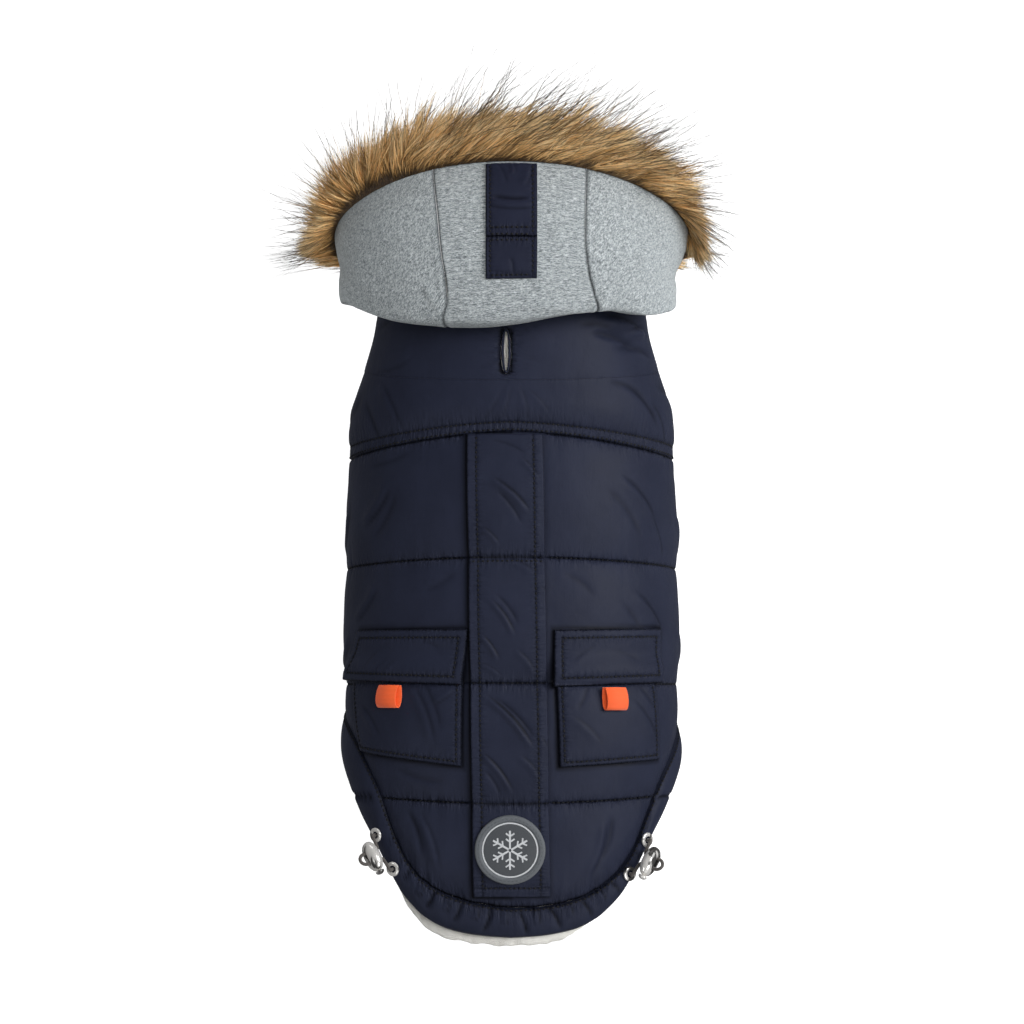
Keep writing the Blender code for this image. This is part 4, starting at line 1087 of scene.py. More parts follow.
def back_lift(angle, along):
    across, row = across_of(angle, along), row_of(angle, along)
    plump = lofts(row, QUILT_ROWS, 0.8)
    detail = 1.4 * creased(across, along, BACK_CREASES) * np.minimum(1.0, 1.5 * plump)
    detail += soft_waves(across, along, 0.85, 3) * plump
    for k, seam in enumerate(QUILT_ROWS[:4]):
        detail += puckers(across, row - seam, 5.0, 0.34, 3.0, 5 + 3 * k)
        detail += puckers(across, row - seam, 11.0, 0.34, 9.0, 6 + 3 * k)
        detail -= 0.5 * tuck(row - seam, 0.7)
    detail += hem_puckers(angle, along)
    side = SIDE_SEAM_ANGLE - from_top(angle)
    detail += puckers(along, side * 1.5, 6.0, 0.45, 8.0, 51)
    detail = detail * smooth(side / 4.0 + 0.25)
    cover = covered(across, along)
    return quilt_top(angle, along) + detail * (1.0 - cover) - 0.15 * cover


def patch_shadow(across, along):
    """1 just outside the patches, where the quilting is tucked under them."""
    found = []
    for corners in PATCHES:
        out = -edge_distance(across, along, corners)
        share = np.where(across > 0, 0.3, 1.0) if corners is PLACKET else 1.0
        found.append(share * np.where(out > -1.0, tuck(out, 1.7), 0.0))
    return np.maximum.reduce(found)


def side_seam_marks(angle):
    return (from_top(angle) - SIDE_SEAM_ANGLE) * 1.7, 1.0, 1.0, UPRIGHT, 3.5


# Painted shade of the back: darker seams and creases, and a painted shadow beside the patches
def back_shade_and_gathers(angle, along):
    across, row = across_of(angle, along), row_of(angle, along)
    marks = seam_shade_and_gathers(
        (hem_seam(angle) - along, 1.0, 1.3, LEVEL, 4.0),
        *((row - seam, 1.0, 0.62, LEVEL, 2.2) for seam in QUILT_ROWS[:4]),
        side_seam_marks(angle), creases=0.6 * crease_shade(across, along, BACK_CREASES))
    cover = covered(across, along)[..., None]
    return np.maximum(marks * (1 - cover), [1.0, 0, 0] * patch_shadow(across, along)[..., None])


def hem_marks(angles, rows):
    """The alongs of sewn rows at each angle, with the last of them on the hem's seam."""
    hem = hem_seam(angles)
    marks = [np.minimum(row_along(angles, row), hem - (4 - k) * 2.5)
             for k, row in enumerate(rows[:-1])]
    return np.stack([*marks, hem])


def make_back():
    angles = back_angles()
    rows = (YOKE_SEAM - SEAM_GAP + 0.05, *QUILT_ROWS[1:])
    grid = panel_grid(angles, hem_marks(angles, rows), rows, 1.6)
    panel = coat_panel("back_quilting", *grid, back_lift, back_shade_and_gathers)
    finish_piece(panel, NAVY, "navy_shell", "back_panel")
    for row in QUILT_ROWS[1:4]:
        seam = np.arange(-108.5, 108.6, 0.5)
        alongs = row_along(seam, row)
        aside = across_of(seam, alongs)
        for keep in (aside < -26.0, aside > 22.5):
            keep = keep & (alongs < hem_seam(seam) - 5)
            sew_coat(seam[keep], alongs[keep], back_lift)
    for side in (-1, 1):
        alongs = np.arange(92.0, float(hem_seam(108.0)) - 3, 1.0)
        sew_coat(np.full(len(alongs), side * 108.4), alongs, back_lift)


def yoke_lift(angle, along):
    across, row = across_of(angle, along), row_of(angle, along)
    stitched = YOKE_SEAM - YOKE_STITCHED_EDGE
    share = (row - COLLAR_SEAM) / (stitched - COLLAR_SEAM)
    side = SIDE_SEAM_ANGLE - from_top(angle)
    neck = NECK_SEAM_FILL * COLLAR_LOFT / YOKE_LOFT * (1.0 - smooth(1.6 * share))
    rise = np.where(share < 0.6, neck + 0.98 * smooth(1.6 * share), 0.0)
    rise = np.maximum(pillow(share, 0.8), rise)
    top = SHELL_CLOTH + YOKE_LOFT * rise * pinch(side, QUILT_PINCH_ANGLE)
    detail = creased(across, along, YOKE_CREASES) + soft_waves(across, along, 0.4, 13)
    detail = detail * lerp(pillow(share, 0.7), 1.0, 0.4)
    detail += puckers(across, row - stitched, 4.6, 0.26, 4.0, 61)
    slant = across + 0.9 * (row - stitched)
    between_rows = pillow((row - stitched) / YOKE_STITCHED_EDGE, 0.5)
    detail += between_rows * (0.12 + puckers(slant, 0.0, 3.4, 0.34, 1.0, 63))
    detail -= 0.35 * tuck(row - stitched, 0.8)
    detail += puckers(across, row - COLLAR_SEAM, 7.0, 0.10, 4.0, 65)
    detail -= 0.12 * tuck(row - COLLAR_SEAM, 1.2)
    edge = rolled(YOKE_SEAM - SEAM_GAP - row, 0.9)
    return (top + detail * smooth(side / 4.0 + 0.25)) * lerp(0.7, 1.0, edge)


# Painted shade of the yoke: darker seams and creases
def yoke_shade_and_gathers(angle, along):
    across, row = across_of(angle, along), row_of(angle, along)
    return seam_shade_and_gathers(
        (row - YOKE_SEAM + YOKE_STITCHED_EDGE, 0.55, 0.6, LEVEL, 4.0),
        (YOKE_SEAM - row, 1.0, 0.7, LEVEL, 4.0),
        side_seam_marks(angle), (row - COLLAR_SEAM, 0.12, 0.5, LEVEL, 2.0),
        creases=0.8 * crease_shade(across, along, YOKE_CREASES))


def make_yoke():
    rows = (COLLAR_SEAM, YOKE_SEAM - YOKE_STITCHED_EDGE, YOKE_SEAM - SEAM_GAP)
    angles = back_angles()
    marks = np.stack([row_along(angles, row) for row in rows])
    panel = coat_panel("yoke_panel", *panel_grid(angles, marks, rows, 1.0), yoke_lift, yoke_shade_and_gathers)
    finish_piece(panel, NAVY, "navy_shell", "yoke")
    line = np.arange(-108.0, 108.1, 0.5)
    for row in (rows[1], YOKE_SEAM - 1.6):
        sew_coat(line, row_along(line, row), yoke_lift)


def slot_distance(across, along):
    """How far a place on the collar is from the leash slot's edge."""
    past = np.maximum(np.abs(along - SLOT["along"]) - (SLOT["length"] - SLOT["width"]) / 2, 0.0)
    return np.hypot(across - SLOT_ACROSS, past) - SLOT["width"] / 2


def collar_lift(angle, along):
    across = across_of(angle, along)
    share = along / COLLAR_SEAM
    fill = NECK_SEAM_FILL * pinch(SIDE_SEAM_ANGLE - from_top(angle), QUILT_PINCH_ANGLE)
    fill = np.where(share > 0.5, fill, 0.0)
    detail = creased(across, along, COLLAR_CREASES) + soft_waves(across, along, 0.5, 23)
    detail = detail * lerp(pillow(share, 0.7), 1.0, 0.6 * fill)
    detail += puckers(across, along - COLLAR_SEAM, 7.0, 0.10, 4.0, 71)
    detail -= 0.10 * tuck(along - COLLAR_SEAM, 1.2)
    gap = slot_distance(across, along)
    detail += puckers(along, gap, 4.2, 0.34, 4.0, 73)
    loft = COLLAR_LOFT * lerp(pillow(share, 0.6), 1.0, fill)
    loft = loft - 0.9 * np.exp(-np.maximum(gap, 0.0) / 3.0)
    return SHELL_CLOTH + np.maximum(loft, 0.0) + detail


# Painted shade of the collar: darker neck seam, slot edge and creases
def collar_shade_and_gathers(angle, along):
    across = across_of(angle, along)
    return seam_shade_and_gathers(
        (along - COLLAR_SEAM, 0.12, 0.5, LEVEL, 2.0),
        (slot_distance(across, along), 1.0, 0.9, UPRIGHT, 3.0),
        creases=0.45 * crease_shade(across, along, COLLAR_CREASES))


def make_collar():
    angles = round_angles(1.55)
    rows = (0.0, COLLAR_SEAM - 0.06)
    marks = np.broadcast_to(np.array(rows)[:, None], (2, len(angles)))
    grid = panel_grid(angles, marks, rows, 1.3)
    panel = coat_panel("collar_band", *grid, collar_lift, collar_shade_and_gathers, ring=True)
    cutter = stadium_cutter("slot_cutter", **SLOT, depth=30.0, oval=True)
    cut_out(panel, [cutter])
    finish_piece(panel, NAVY, "navy_shell", "collar")
    return cutter


def slot_line(inset):
    """Across and along of the leash slot's oval, a distance inside its cut edge."""
    turn = turns(160)
    return (SLOT_ACROSS + (SLOT["width"] / 2 - inset) * np.sin(turn),
            SLOT["along"] + (SLOT["length"] / 2 - inset) * np.cos(turn))


def slot_tube(name, inset, radius, height, level, lumps):
    """A soft tube led round the slot. level gives its middle's height at each place."""
    sides = 12
    rings = []
    for roll in turns(sides):
        across, along = slot_line(inset - radius * math.cos(roll))
        angle = angle_of(across, along)
        uneven = lumps * noise(flat(along, across * 3.0, roll), 1.5, 151)
        rings.append(coat_point(angle, along, level(angle, along) + height * math.sin(roll)
                                + uneven))
    obj = tube(name, np.stack(rings, 1), closed=True)
    run, girth = np.meshgrid(np.arange(len(rings[0])) * 0.4, np.arange(sides) * 0.45,
                             indexing="ij")
    point_attribute(obj.data, "cloth", flat(run.ravel(), girth.ravel()))
    return obj


def make_slot_binding():
    binding = slot_tube("slot_binding", 1.10, 0.72, 0.85,
                        lambda angle, along: collar_lift(angle, along) + 0.35, 0.12)
    finish_piece(binding, NAVY_TAPE, "navy_webbing", "leash_slot_binding")
    pile = slot_tube("slot_pile", 2.35, 0.62, 2.2, lambda angle, along: 1.3 + 0 * along, 0.8)
    # The slot's pile is painted at a lump's pale colour, without cleft shade
    point_attribute(pile.data, "lump", np.full(len(pile.data.vertices), 0.8))
    finish_piece(pile, SHERPA, "sherpa")


def leg_hole_place(points, side):
    """How far points are from a leg hole's edge, and how far round it they are."""
    hole = side * LEG_HOLE_ANGLE, LEG_HOLE["along"]
    sideways, tailward, _ = coat_frame(*hole)
    apart = points - coat_point(*hole)
    x, y = apart @ sideways, apart @ tailward
    past = np.sign(y) * np.maximum(np.abs(y) - LEG_HOLE_STRAIGHT, 0.0)
    return np.hypot(x, past) - LEG_HOLE_REACH, np.arctan2(x, y) * LEG_HOLE_REACH


def chest_lift(angle, along):
    across, row = across_of(angle, along), row_of(angle, along)
    side = from_top(angle) - SIDE_SEAM_ANGLE
    loft = QUILT_LOFT * CHEST_LOFT_SHARE * lofts(row, CHEST_ROWS)
    loft = loft * pinch(side, QUILT_PINCH_ANGLE)
    loft = loft * pinch(hem_seam(angle) - along, QUILT_PINCH_LENGTH)
    detail = soft_waves(across, along, 0.6, 43) * lofts(row, CHEST_ROWS, 0.8)
    for k, seam in enumerate(CHEST_ROWS[:4]):
        detail += puckers(across, row - seam, 5.2, 0.30, 5.0, 80 + 2 * k)
        detail -= 0.7 * tuck(row - seam, 1.0)
    detail += hem_puckers(angle, along)
    points = base_point(angle, along)
    for one in (-1, 1):
        gap, run = leg_hole_place(points, one)
        loft = loft * pinch(gap - LEG_STITCHES, 8.0)
        detail += puckers(run, gap - LEG_STITCHES, 5.5, 0.35, 7.0, 91)
        detail += 0.5 * np.exp(-((gap - 2.5) / 1.8) ** 2)
    return SHELL_CLOTH + loft + detail * smooth(side / 4.0 + 0.25)


# Painted shade of the chest: darker seams and leg hole stitching
def chest_shade_and_gathers(angle, along):
    row = row_of(angle, along)
    points = base_point(angle, along)
    gaps = [leg_hole_place(points, side)[0] - LEG_STITCHES for side in (-1, 1)]
    return seam_shade_and_gathers(
        (hem_seam(angle) - along, 1.0, 1.3, LEVEL, 5.0), side_seam_marks(angle),
        *((row - seam, 1.0, 0.7, LEVEL, 3.0) for seam in CHEST_ROWS[:4]),
        *((gap, 0.6, 0.8, way, 3.0) for gap in gaps for way in (LEVEL, UPRIGHT)))


def make_chest():
    angles = level_angles(-180.0 + 1e-6, -SIDE_SEAM_ANGLE - SIDE_GAP_ANGLE, 1.9)
    angles = np.concatenate([-angles[::-1], angles[1:] + 360.0])
    grid = panel_grid(angles, hem_marks(angles, CHEST_ROWS), CHEST_ROWS, 1.9)
    panel = coat_panel("chest_quilting", *grid, chest_lift, chest_shade_and_gathers)
    cutters = [stadium_cutter(f"leg_cutter_{label}", side * LEG_HOLE_ANGLE, **LEG_HOLE,
                              depth=46.0) for label, side in (("left", -1), ("right", 1))]
    cut_out(panel, cutters)
    finish_piece(panel, NAVY, "navy_shell", "chest_panel")
    for row in CHEST_ROWS[1:4]:
        seam = np.arange(111.5, 248.6, 0.5)
        alongs = row_along(seam, row)
        points = base_point(seam, alongs)
        clear = np.minimum(leg_hole_place(points, -1)[0], leg_hole_place(points, 1)[0])
        open_to = (clear > 4.0) & (alongs < hem_seam(seam) - 4)
        breaks = np.flatnonzero(np.diff(open_to.astype(int))) + 1
        for part in np.split(np.arange(len(seam)), breaks):
            if open_to[part[0]] and len(part) > 8:
                sew_coat(seam[part], alongs[part], chest_lift)
    sew_leg_holes()
    return cutters


def sew_leg_holes():
    """A row of stitches round each leg hole."""
    reach = LEG_HOLE_REACH + LEG_STITCHES
    turn = np.linspace(0, 2 * np.pi, 361)
    bend = np.clip(6 * np.cos(turn), -1, 1)
    alongs = LEG_HOLE["along"] + reach * np.cos(turn) + LEG_HOLE_STRAIGHT * bend
    for side in (-1, 1):
        centre = float(across_of(side * LEG_HOLE_ANGLE, LEG_HOLE["along"]))
        sew_coat(angle_of(centre + reach * np.sin(turn), alongs), alongs, chest_lift)


# Across is the distance round the hem from its middle, and along is from its seam
HEM_CREASES = (
    (-88, 1, -96, 13, 1.8, -0.8), (-76, 0, -82, 11, 1.6, 0.8), (-66, 0, -75, 15, 1.8, -0.9),
    (-55, 1, -59, 10, 1.5, 0.8), (-46, 0, -54, 15, 1.8, -1.0), (-37, 1, -40, 9, 1.4, 0.7),
    (-29, 0, -35, 14, 1.7, -0.9), (-20, 1, -22, 9, 1.4, 0.8), (-12, 0, -17, 16, 1.8, -1.0),
    (-4, 0, -4, 9, 1.4, 0.7), (4, 1, 9, 16, 1.7, -0.9), (13, 0, 15, 9, 1.5, 0.8),
    (21, 0, 29, 14, 1.8, -1.0), (32, 1, 35, 9, 1.4, 0.7), (40, 0, 49, 15, 1.8, -0.9),
    (51, 0, 56, 10, 1.5, 0.8), (61, 1, 70, 14, 1.7, -0.8), (73, 0, 79, 10, 1.6, 0.8),
    (84, 1, 93, 13, 1.8, -0.8), (-100, 0, -106, 9, 1.5, 0.5), (98, 0, 104, 9, 1.5, 0.5),
)
HEM_MIDDLE = float(hem_run(0.0))


def hem_crossing(angle, along, reach):
    """1 where the last row of quilting runs on over the hem at the sides."""
    over = smooth((from_top(angle) - 50.0) / 6.0)
    return tuck(row_of(angle, along) - QUILT_ROWS[3], reach) * over


def hem_lift(angle, along):
    edge, run = hem_edge(angle), hem_run(angle)
    below = along - hem_seam(angle)
    slanted = run + 0.35 * below * noise(flat(run, 0.0), 26.0, 39)
    gathers = puckers(slanted, below, 6.2, 0.34, 7.0, 31)
    gathers += puckers(slanted, below, 13.0, 0.60, 18.0, 33)
    gathers += puckers(slanted, edge - along, 8.0, 0.2, 6.0, 35)
    gathers += 1.5 * creased(run - HEM_MIDDLE, below, HEM_CREASES)
    waves = soft_waves(across_of(angle, along), along, 0.45, 37)
    crossing = 1.6 * hem_crossing(angle, along, 1.1)
    lift = hem_top(angle, along) + gathers * gathering(angle) + waves - crossing
    return np.maximum(lift, 1.0) * lerp(0.25, 1.0, rolled(edge - along, 2.6))


# Painted shade of the hem: darker seam, creases and the crossing of the last quilting row
def hem_shade_and_gathers(angle, along):
    below = along - hem_seam(angle)
    shade = 0.9 * crease_shade(hem_run(angle) - HEM_MIDDLE, below, HEM_CREASES)
    marks = seam_shade_and_gathers((below, 1.0, 1.0, LEVEL, 5.0), creases=shade)
    marks[..., 1] *= np.minimum(gathering(angle), 1.0)
    marks[..., 0] = np.maximum(marks[..., 0], 0.9 * hem_crossing(angle, along, 0.7))
    return marks


def make_hem_band():
    angles = round_angles(1.35)
    seam, edge = hem_seam(angles) + 2 * SEAM_GAP, hem_edge(angles)
    shares = np.arange(21) / 20
    shares = lerp(shares, np.sin(0.5 * np.pi * shares), 0.6)
    alongs = lerp(seam, edge, shares[:, None])
    grid = np.broadcast_to(angles, alongs.shape), alongs
    panel = coat_panel("hem_casing", *grid, hem_lift, hem_shade_and_gathers, ring=True)
    finish_piece(panel, NAVY, "navy_shell", "hem_band")
    line = np.arange(-180.0, 180.1, 0.4)
    sew_coat(line, hem_seam(line) + 1.3, hem_lift)


# Lining

PEEP_AT_TAIL = 4.6
PEEP_AT_SIDE = -1.5
# Its flat widths at the neck and over the chest
LINING_WIDTHS = [2 * float(across_of(179.9, along)) for along in (20.0, 120.0)]


def lining_edge(angle):
    past = from_top(angle + 13.0) - 29.0
    left = 2.2 * np.exp(-((angle + 33.0) / 12.0) ** 2)
    return hem_edge(angle) + left + lerp(PEEP_AT_TAIL, PEEP_AT_SIDE, np.clip(past / 18.0, 0, 1))


def make_lining(cutters):
    """The pile lining: a plain outer face, and a lumpy inner face that turns up the edge."""
    angles = round_angles(2.3, 1)
    edge = lining_edge(angles)
    neck = 1.5
    rows = []
    for share in np.linspace(0.0, 1.0, 9):
        rows.append((lerp(neck, edge - 17.0, share), -LINING_GAP, 0.0))
    for back in np.linspace(15.0, 1.2, 8):
        rows.append((edge - back, -LINING_GAP, smooth(1.2 - back / 9.0)))
    middle, half = -LINING_GAP - LINING_PILE / 2, LINING_PILE / 2
    for turn in np.radians((60.0, 25.0, -10.0, -45.0, -75.0)):
        rows.append((edge + 0.9 * math.cos(turn), middle + half * math.sin(turn), 1.0))
    count = round((370.0 - neck) / 2.3)
    for share in np.linspace(1.0, 0.0, count):
        rows.append((lerp(neck, edge - 1.0, share), -LINING_GAP - LINING_PILE, 1.0))
    alongs = np.stack([np.broadcast_to(row[0], angles.shape) for row in rows])
    lifts = np.array([row[1] for row in rows])[:, None]
    pile = np.stack([np.broadcast_to(row[2], angles.shape) for row in rows])
    grid = np.broadcast_to(angles, alongs.shape)
    plain = coat_point(grid, alongs, lifts)
    lumps = lerp(curls(plain, 4.6, 7), curls(plain, 2.9, 11), 0.35)
    away = np.sign(lifts - middle)
    reach = 2.1 * (lumps - 0.42) * pile
    bare = smooth((alongs - hem_edge(grid) + 1.0) / 2.0)
    reach = np.where(away > 0, np.minimum(reach, 0.55) * lerp(0.6, 1.9, bare), reach)
    points = coat_point(grid, alongs + pile * 0.8 * noise(plain, 3.4, 15), lifts + away * reach)
    obj = tube("pile_lining", points, closed=True)
    # The lump heights also paint shade into the pile's clefts
    point_attribute(obj.data, "lump", lumps.ravel())
    cut_out(obj, cutters)
    finish_piece(obj, SHERPA, "sherpa", "lining")


# Patches on the back

def patch_skin(name, corners, lift, floor, fold, step):
    """Cloth inside four corners. lift, floor and fold are read at (across, along)."""
    (ax, ay), (bx, by), (cx, cy), (dx, dy) = corners
    columns = steps_for(math.hypot(bx - ax, by - ay), step)
    rows = steps_for(math.hypot(dx - ax, dy - ay), step)
    u, v = (np.arange(count + 1) / count for count in (columns, rows))
    u, v = (lerp(t, 0.5 - 0.5 * np.cos(np.pi * t), 0.45) for t in (u, v))
    u, v = np.meshgrid(u, v)
    across = lerp(lerp(ax, bx, u), lerp(dx, cx, u), v)
    along = lerp(lerp(ay, by, u), lerp(dy, cy, u), v)
    angle = angle_of(across, along)
    low = np.s_[::COARSE, ::COARSE]
    fine = coat_point(angle, along, lift(across, along))
    plain = coat_point(angle[low], along[low], floor(across[low], along[low]))
    return skin(name, fine, plain, np.stack([across, along], -1), fold=fold(across, along))


def sew_at(across, along, lift):
    """Stitches along a line of places on a patch."""
    angle = angle_of(across, along)
    sew(coat_point(angle, along, lift(across, along) + STITCH_LIFT), coat_normal(angle, along),
        pitch=2.9)


def sew_patch(corners, lift):
    """Stitches along lines from corner to corner on a patch."""
    corners = np.asarray(corners, float)
    sew_at(*np.concatenate([line_between(a, b) for a, b in zip(corners, corners[1:])]).T, lift)


def quilt_at(across, along):
    return quilt_top(angle_of(across, along), along)


def patch_top(floor, thickness, inset, radius=0.9):
    """A patch's face, rounded down to its floor at the edge."""
    return floor + thickness * lerp(0.15, 1.0, rolled(inset, radius))


def placket_sides(across, along):
    """How far inside the placket's left and right sides a place is."""
    share = (along - PLACKET_TOP) / (PLACKET_END - PLACKET_TOP)
    return across - lerp(*PLACKET_LEFT, share), lerp(*PLACKET_RIGHT, share) - across


def placket_floor(across, along):
    return quilt_at(across, along) + LIE_GAP


def placket_lift(across, along):
    left, right = placket_sides(across, along)
    row = row_of(angle_of(across, along), along)
    detail = 1.3 * creased(across, along, PLACKET_CREASES) * smooth(
        np.minimum(left, right) / 4.0 - 0.3)
    detail += soft_waves(across, along, 0.4, 47)
    for gap, height, reach, seed in ((left - PLACKET_STITCHES, 0.20, 3.0, 101),
                                     (right - PLACKET_STITCHES, 0.24, 3.4, 103)):
        detail += puckers(along, gap, 4.2, height, reach, seed) - 0.3 * tuck(gap, 0.9)
    detail += 0.5 * smooth(1.0 - left / 5.0) - 0.5 * smooth(1.0 - right / 6.0)
    for k, seam in enumerate(QUILT_ROWS[1:4]):
        detail += puckers(across, row - seam, 4.0, 0.34, 4.0, 105 + k)
        detail -= 0.6 * tuck(row - seam, 0.9)
    detail -= 0.3 * tuck(along - PLACKET_LAST_STITCHES, 1.0)
    inset = edge_distance(across, along, PLACKET)
    return patch_top(placket_floor(across, along), PATCH_CLOTH + 0.4 + detail, inset)


# Painted shade of the placket: darker stitching, edges, seams and creases
def placket_shade_and_gathers(across, along):
    row = row_of(angle_of(across, along), along)
    left, right = placket_sides(across, along)
    return seam_shade_and_gathers(
        (left - PLACKET_STITCHES, 0.55, 0.6, UPRIGHT, 2.6),
        (right - PLACKET_STITCHES, 0.6, 0.6, UPRIGHT, 2.6),
        (left, 0.8, 0.8, UPRIGHT, 1.0), (right, 0.3, 0.6, UPRIGHT, 1.0),
        *((row - seam, 0.9, 0.6, LEVEL, 2.6) for seam in QUILT_ROWS[1:4]),
        (along - PLACKET_LAST_STITCHES, 0.5, 0.6, LEVEL, 2.6),
        (PLACKET_END - along, 0.6, 0.7, LEVEL, 1.0),
        creases=0.95 * crease_shade(across, along, PLACKET_CREASES))


def make_placket():
    panel = patch_skin("back_placket", PLACKET, placket_lift, placket_floor, placket_shade_and_gathers, 0.85)
    finish_piece(panel, NAVY, "navy_shell", "placket")
    left, right = ([(edge + inwards, along) for edge, along in zip(
        side, (PLACKET_TOP + 1.5, PLACKET_LAST_STITCHES))] for side, inwards in (
            (PLACKET_LEFT, PLACKET_STITCHES), (PLACKET_RIGHT, -PLACKET_STITCHES)))
    sew_patch((*left, *right[::-1]), placket_lift)
    line = np.arange(-23.4, 21.0, 0.6)
    for row, shift in ((1, 0.0), (1, 2.4), (2, 0.0), (3, 0.0)):
        row = QUILT_ROWS[row]
        sew_at(line, row_along(angle_of(line, row), row) + shift, placket_lift)


def flap_floor(side):
    def floor(across, along):
        share = np.clip((along - FLAPS[side][0][1]) / 32.0, 0.0, 1.0)
        return quilt_at(across, along) + LIE_GAP + FLAP_RISE * smooth((share - 0.35) / 0.5)
    return floor


def flap_lift(side):
    floor = flap_floor(side)

    def lift(across, along):
        inset = edge_distance(across, along, FLAPS[side])
        detail = 0.5 * (1.0 - np.exp(-np.maximum(inset, 0.0) / 4.0))
        detail += creased(across, along, FLAP_CREASES) * smooth(inset / 5.0)
        detail += soft_waves(across, along, 0.35, 57)
        gap = inset - FLAP_STITCHES
        detail += puckers(across + along, gap, 4.0, 0.20, 3.0, 111)
        detail -= 0.28 * tuck(gap, 0.9)
        return patch_top(floor(across, along), PATCH_CLOTH + 0.4 + detail, inset)
    return lift


def bag_floor(across, along):
    return quilt_at(across, along) + BAG_GAP


def bag_lift(side):
    def lift(across, along):
        inset = edge_distance(across, along, BAGS[side])
        swell = BAG_PUFF * (1.0 - np.exp(-np.maximum(inset, 0.0) / 5.0))
        detail = creased(across, along, POCKET_CREASES) + soft_waves(across, along, 0.6, 67)
        gap = inset - BAG_STITCHES
        detail = detail * smooth(inset / 7.0) - 0.25 * tuck(gap, 0.9)
        detail += puckers(across + along, gap, 4.6, 0.20, 4.0, 113)
        return patch_top(bag_floor(across, along), PATCH_CLOTH + swell + detail, inset)
    return lift


def inset_corners(corners, inset):
    """The corners of a shape with its sides moved in by the same distance."""
    lines = []
    for (ax, ay), (bx, by) in zip(corners, (*corners[1:], corners[0])):
        length = math.hypot(bx - ax, by - ay)
        dx, dy = (bx - ax) / length, (by - ay) / length
        lines.append((ax - dy * inset, ay + dx * inset, dx, dy))
    found = []
    for (ax, ay, adx, ady), (bx, by, bdx, bdy) in zip((lines[-1], *lines[:-1]), lines):
        t = ((bx - ax) * bdy - (by - ay) * bdx) / (adx * bdy - ady * bdx)
        found.append((ax + adx * t, ay + ady * t))
    return found


def inset_shade_and_gathers(corners, inset, depth, creases):
    """The painted shade and gathers of a stitched line that runs round a patch, and the painted
    shade at the patch's edge.
    """
    def fold(across, along):
        inside = depth * smooth((edge_distance(across, along, corners) - inset + 2.0) / 1.5)
        seams = []
        for k, gap in enumerate(side_distances(across, along, corners)):
            way = UPRIGHT if k % 2 else LEVEL
            seams += [(gap - inset, inside, 0.7, way, 2.4), (gap, 0.9, 0.8, way, 1.0)]
        return seam_shade_and_gathers(*seams, creases=0.8 * crease_shade(across, along, creases))
    return fold


def make_pockets():
    for side in ("left", "right"):
        bag = patch_skin(f"pocket_cloth_{side}", BAGS[side], bag_lift(side), bag_floor,
                         inset_shade_and_gathers(BAGS[side], BAG_STITCHES, 0.55, POCKET_CREASES), 1.0)
        finish_piece(bag, NAVY, "navy_shell", f"pocket_bag_{side}")
        first, *others = inset_corners(BAGS[side], BAG_STITCHES)
        sew_patch((first, *others[::-1]), bag_lift(side))
        flap = patch_skin(f"flap_cloth_{side}", FLAPS[side], flap_lift(side), flap_floor(side),
                          inset_shade_and_gathers(FLAPS[side], FLAP_STITCHES, 0.6, FLAP_CREASES), 0.9)
        finish_piece(flap, NAVY, "navy_shell", f"pocket_flap_{side}")
        inner = inset_corners(FLAPS[side], FLAP_STITCHES)
        sew_patch((*inner, inner[0]), flap_lift(side))


def make_ribbon_loops():
    """Folded ribbon that hangs in a flattened loop from under each pocket flap."""
    width, drop, half_depth, cloth = 13.6, 14.0, 1.9, 0.8
    count = 40
    strip = np.array([(-0.5, -0.35), (-0.49, -0.5), (0.49, -0.5), (0.5, -0.35),
                      (0.5, 0.35), (0.49, 0.5), (-0.49, 0.5), (-0.5, 0.35)])
    profile = strip * (width, cloth)
    for side, yaw in (("left", -1.0), ("right", 0.8)):
        across = RIBBONS[side]
        *_, (cx, cy), (dx, dy) = FLAPS[side]
        middle = lerp(cy, dy, (across - cx) / (dx - cx)) + 0.6 + drop / 2
        angle = float(angle_of(across, middle))
        floor = float(quilt_top(angle, middle)) + 2 * LIE_GAP + PATCH_CLOTH + BAG_PUFF
        centre = coat_point(angle, middle, floor + half_depth + cloth / 2 + 0.5)
        _, tailward, outward = coat_frame(angle, middle)
        sideways = np.cross(outward, tailward)
        turn = np.pi * (0.16 + 1.68 * np.arange(count) / (count - 1))
        fold = drop / 2 * np.cos(turn)
        puff = half_depth * np.sin(turn) * (1.0 + 0.25 * np.cos(turn - 2.4))
        slide = yaw * (0.55 * puff + 0.10 * (drop / 2 - fold))
        line = (centre - tailward * fold[:, None] + outward * puff[:, None]
                + sideways * slide[:, None])
        normal = np.cross(unit(np.gradient(line, axis=0)), sideways)
        rings = sweep(line, np.broadcast_to(sideways, line.shape), normal, profile)
        obj = tube(f"ribbon_fold_{side}", rings, sharp=60.0)
        run = np.repeat(walked(line), len(profile))
        point_attribute(obj.data, "cloth", flat(run, np.tile(profile[:, 0], count)))
        finish_piece(obj, ORANGE, "orange_ribbon", f"ribbon_loop_{side}")


# Badge

def badge_profile(share):
    """The height of the rubber at a share of the radius."""
    rim = smooth((share - 0.80) / 0.05) * rolled(1.0 - share, 0.05)
    groove = np.exp(-((share - 0.765) / 0.012) ** 2)
    return BADGE_FACE + 0.85 * rim - 0.18 * groove * (share < 0.8)


def badge_points(share, turn, lift):
    across = BADGE_PLACE[0] + BADGE_RADIUS * share * np.sin(turn)
    along = BADGE_PLACE[1] - BADGE_RADIUS * share * np.cos(turn)
    angle = angle_of(across, along)
    floor = quilt_at(across, along) + PATCH_CLOTH + 2 * LIE_GAP
    return coat_point(angle, along, floor + lift), coat_normal(angle, along)


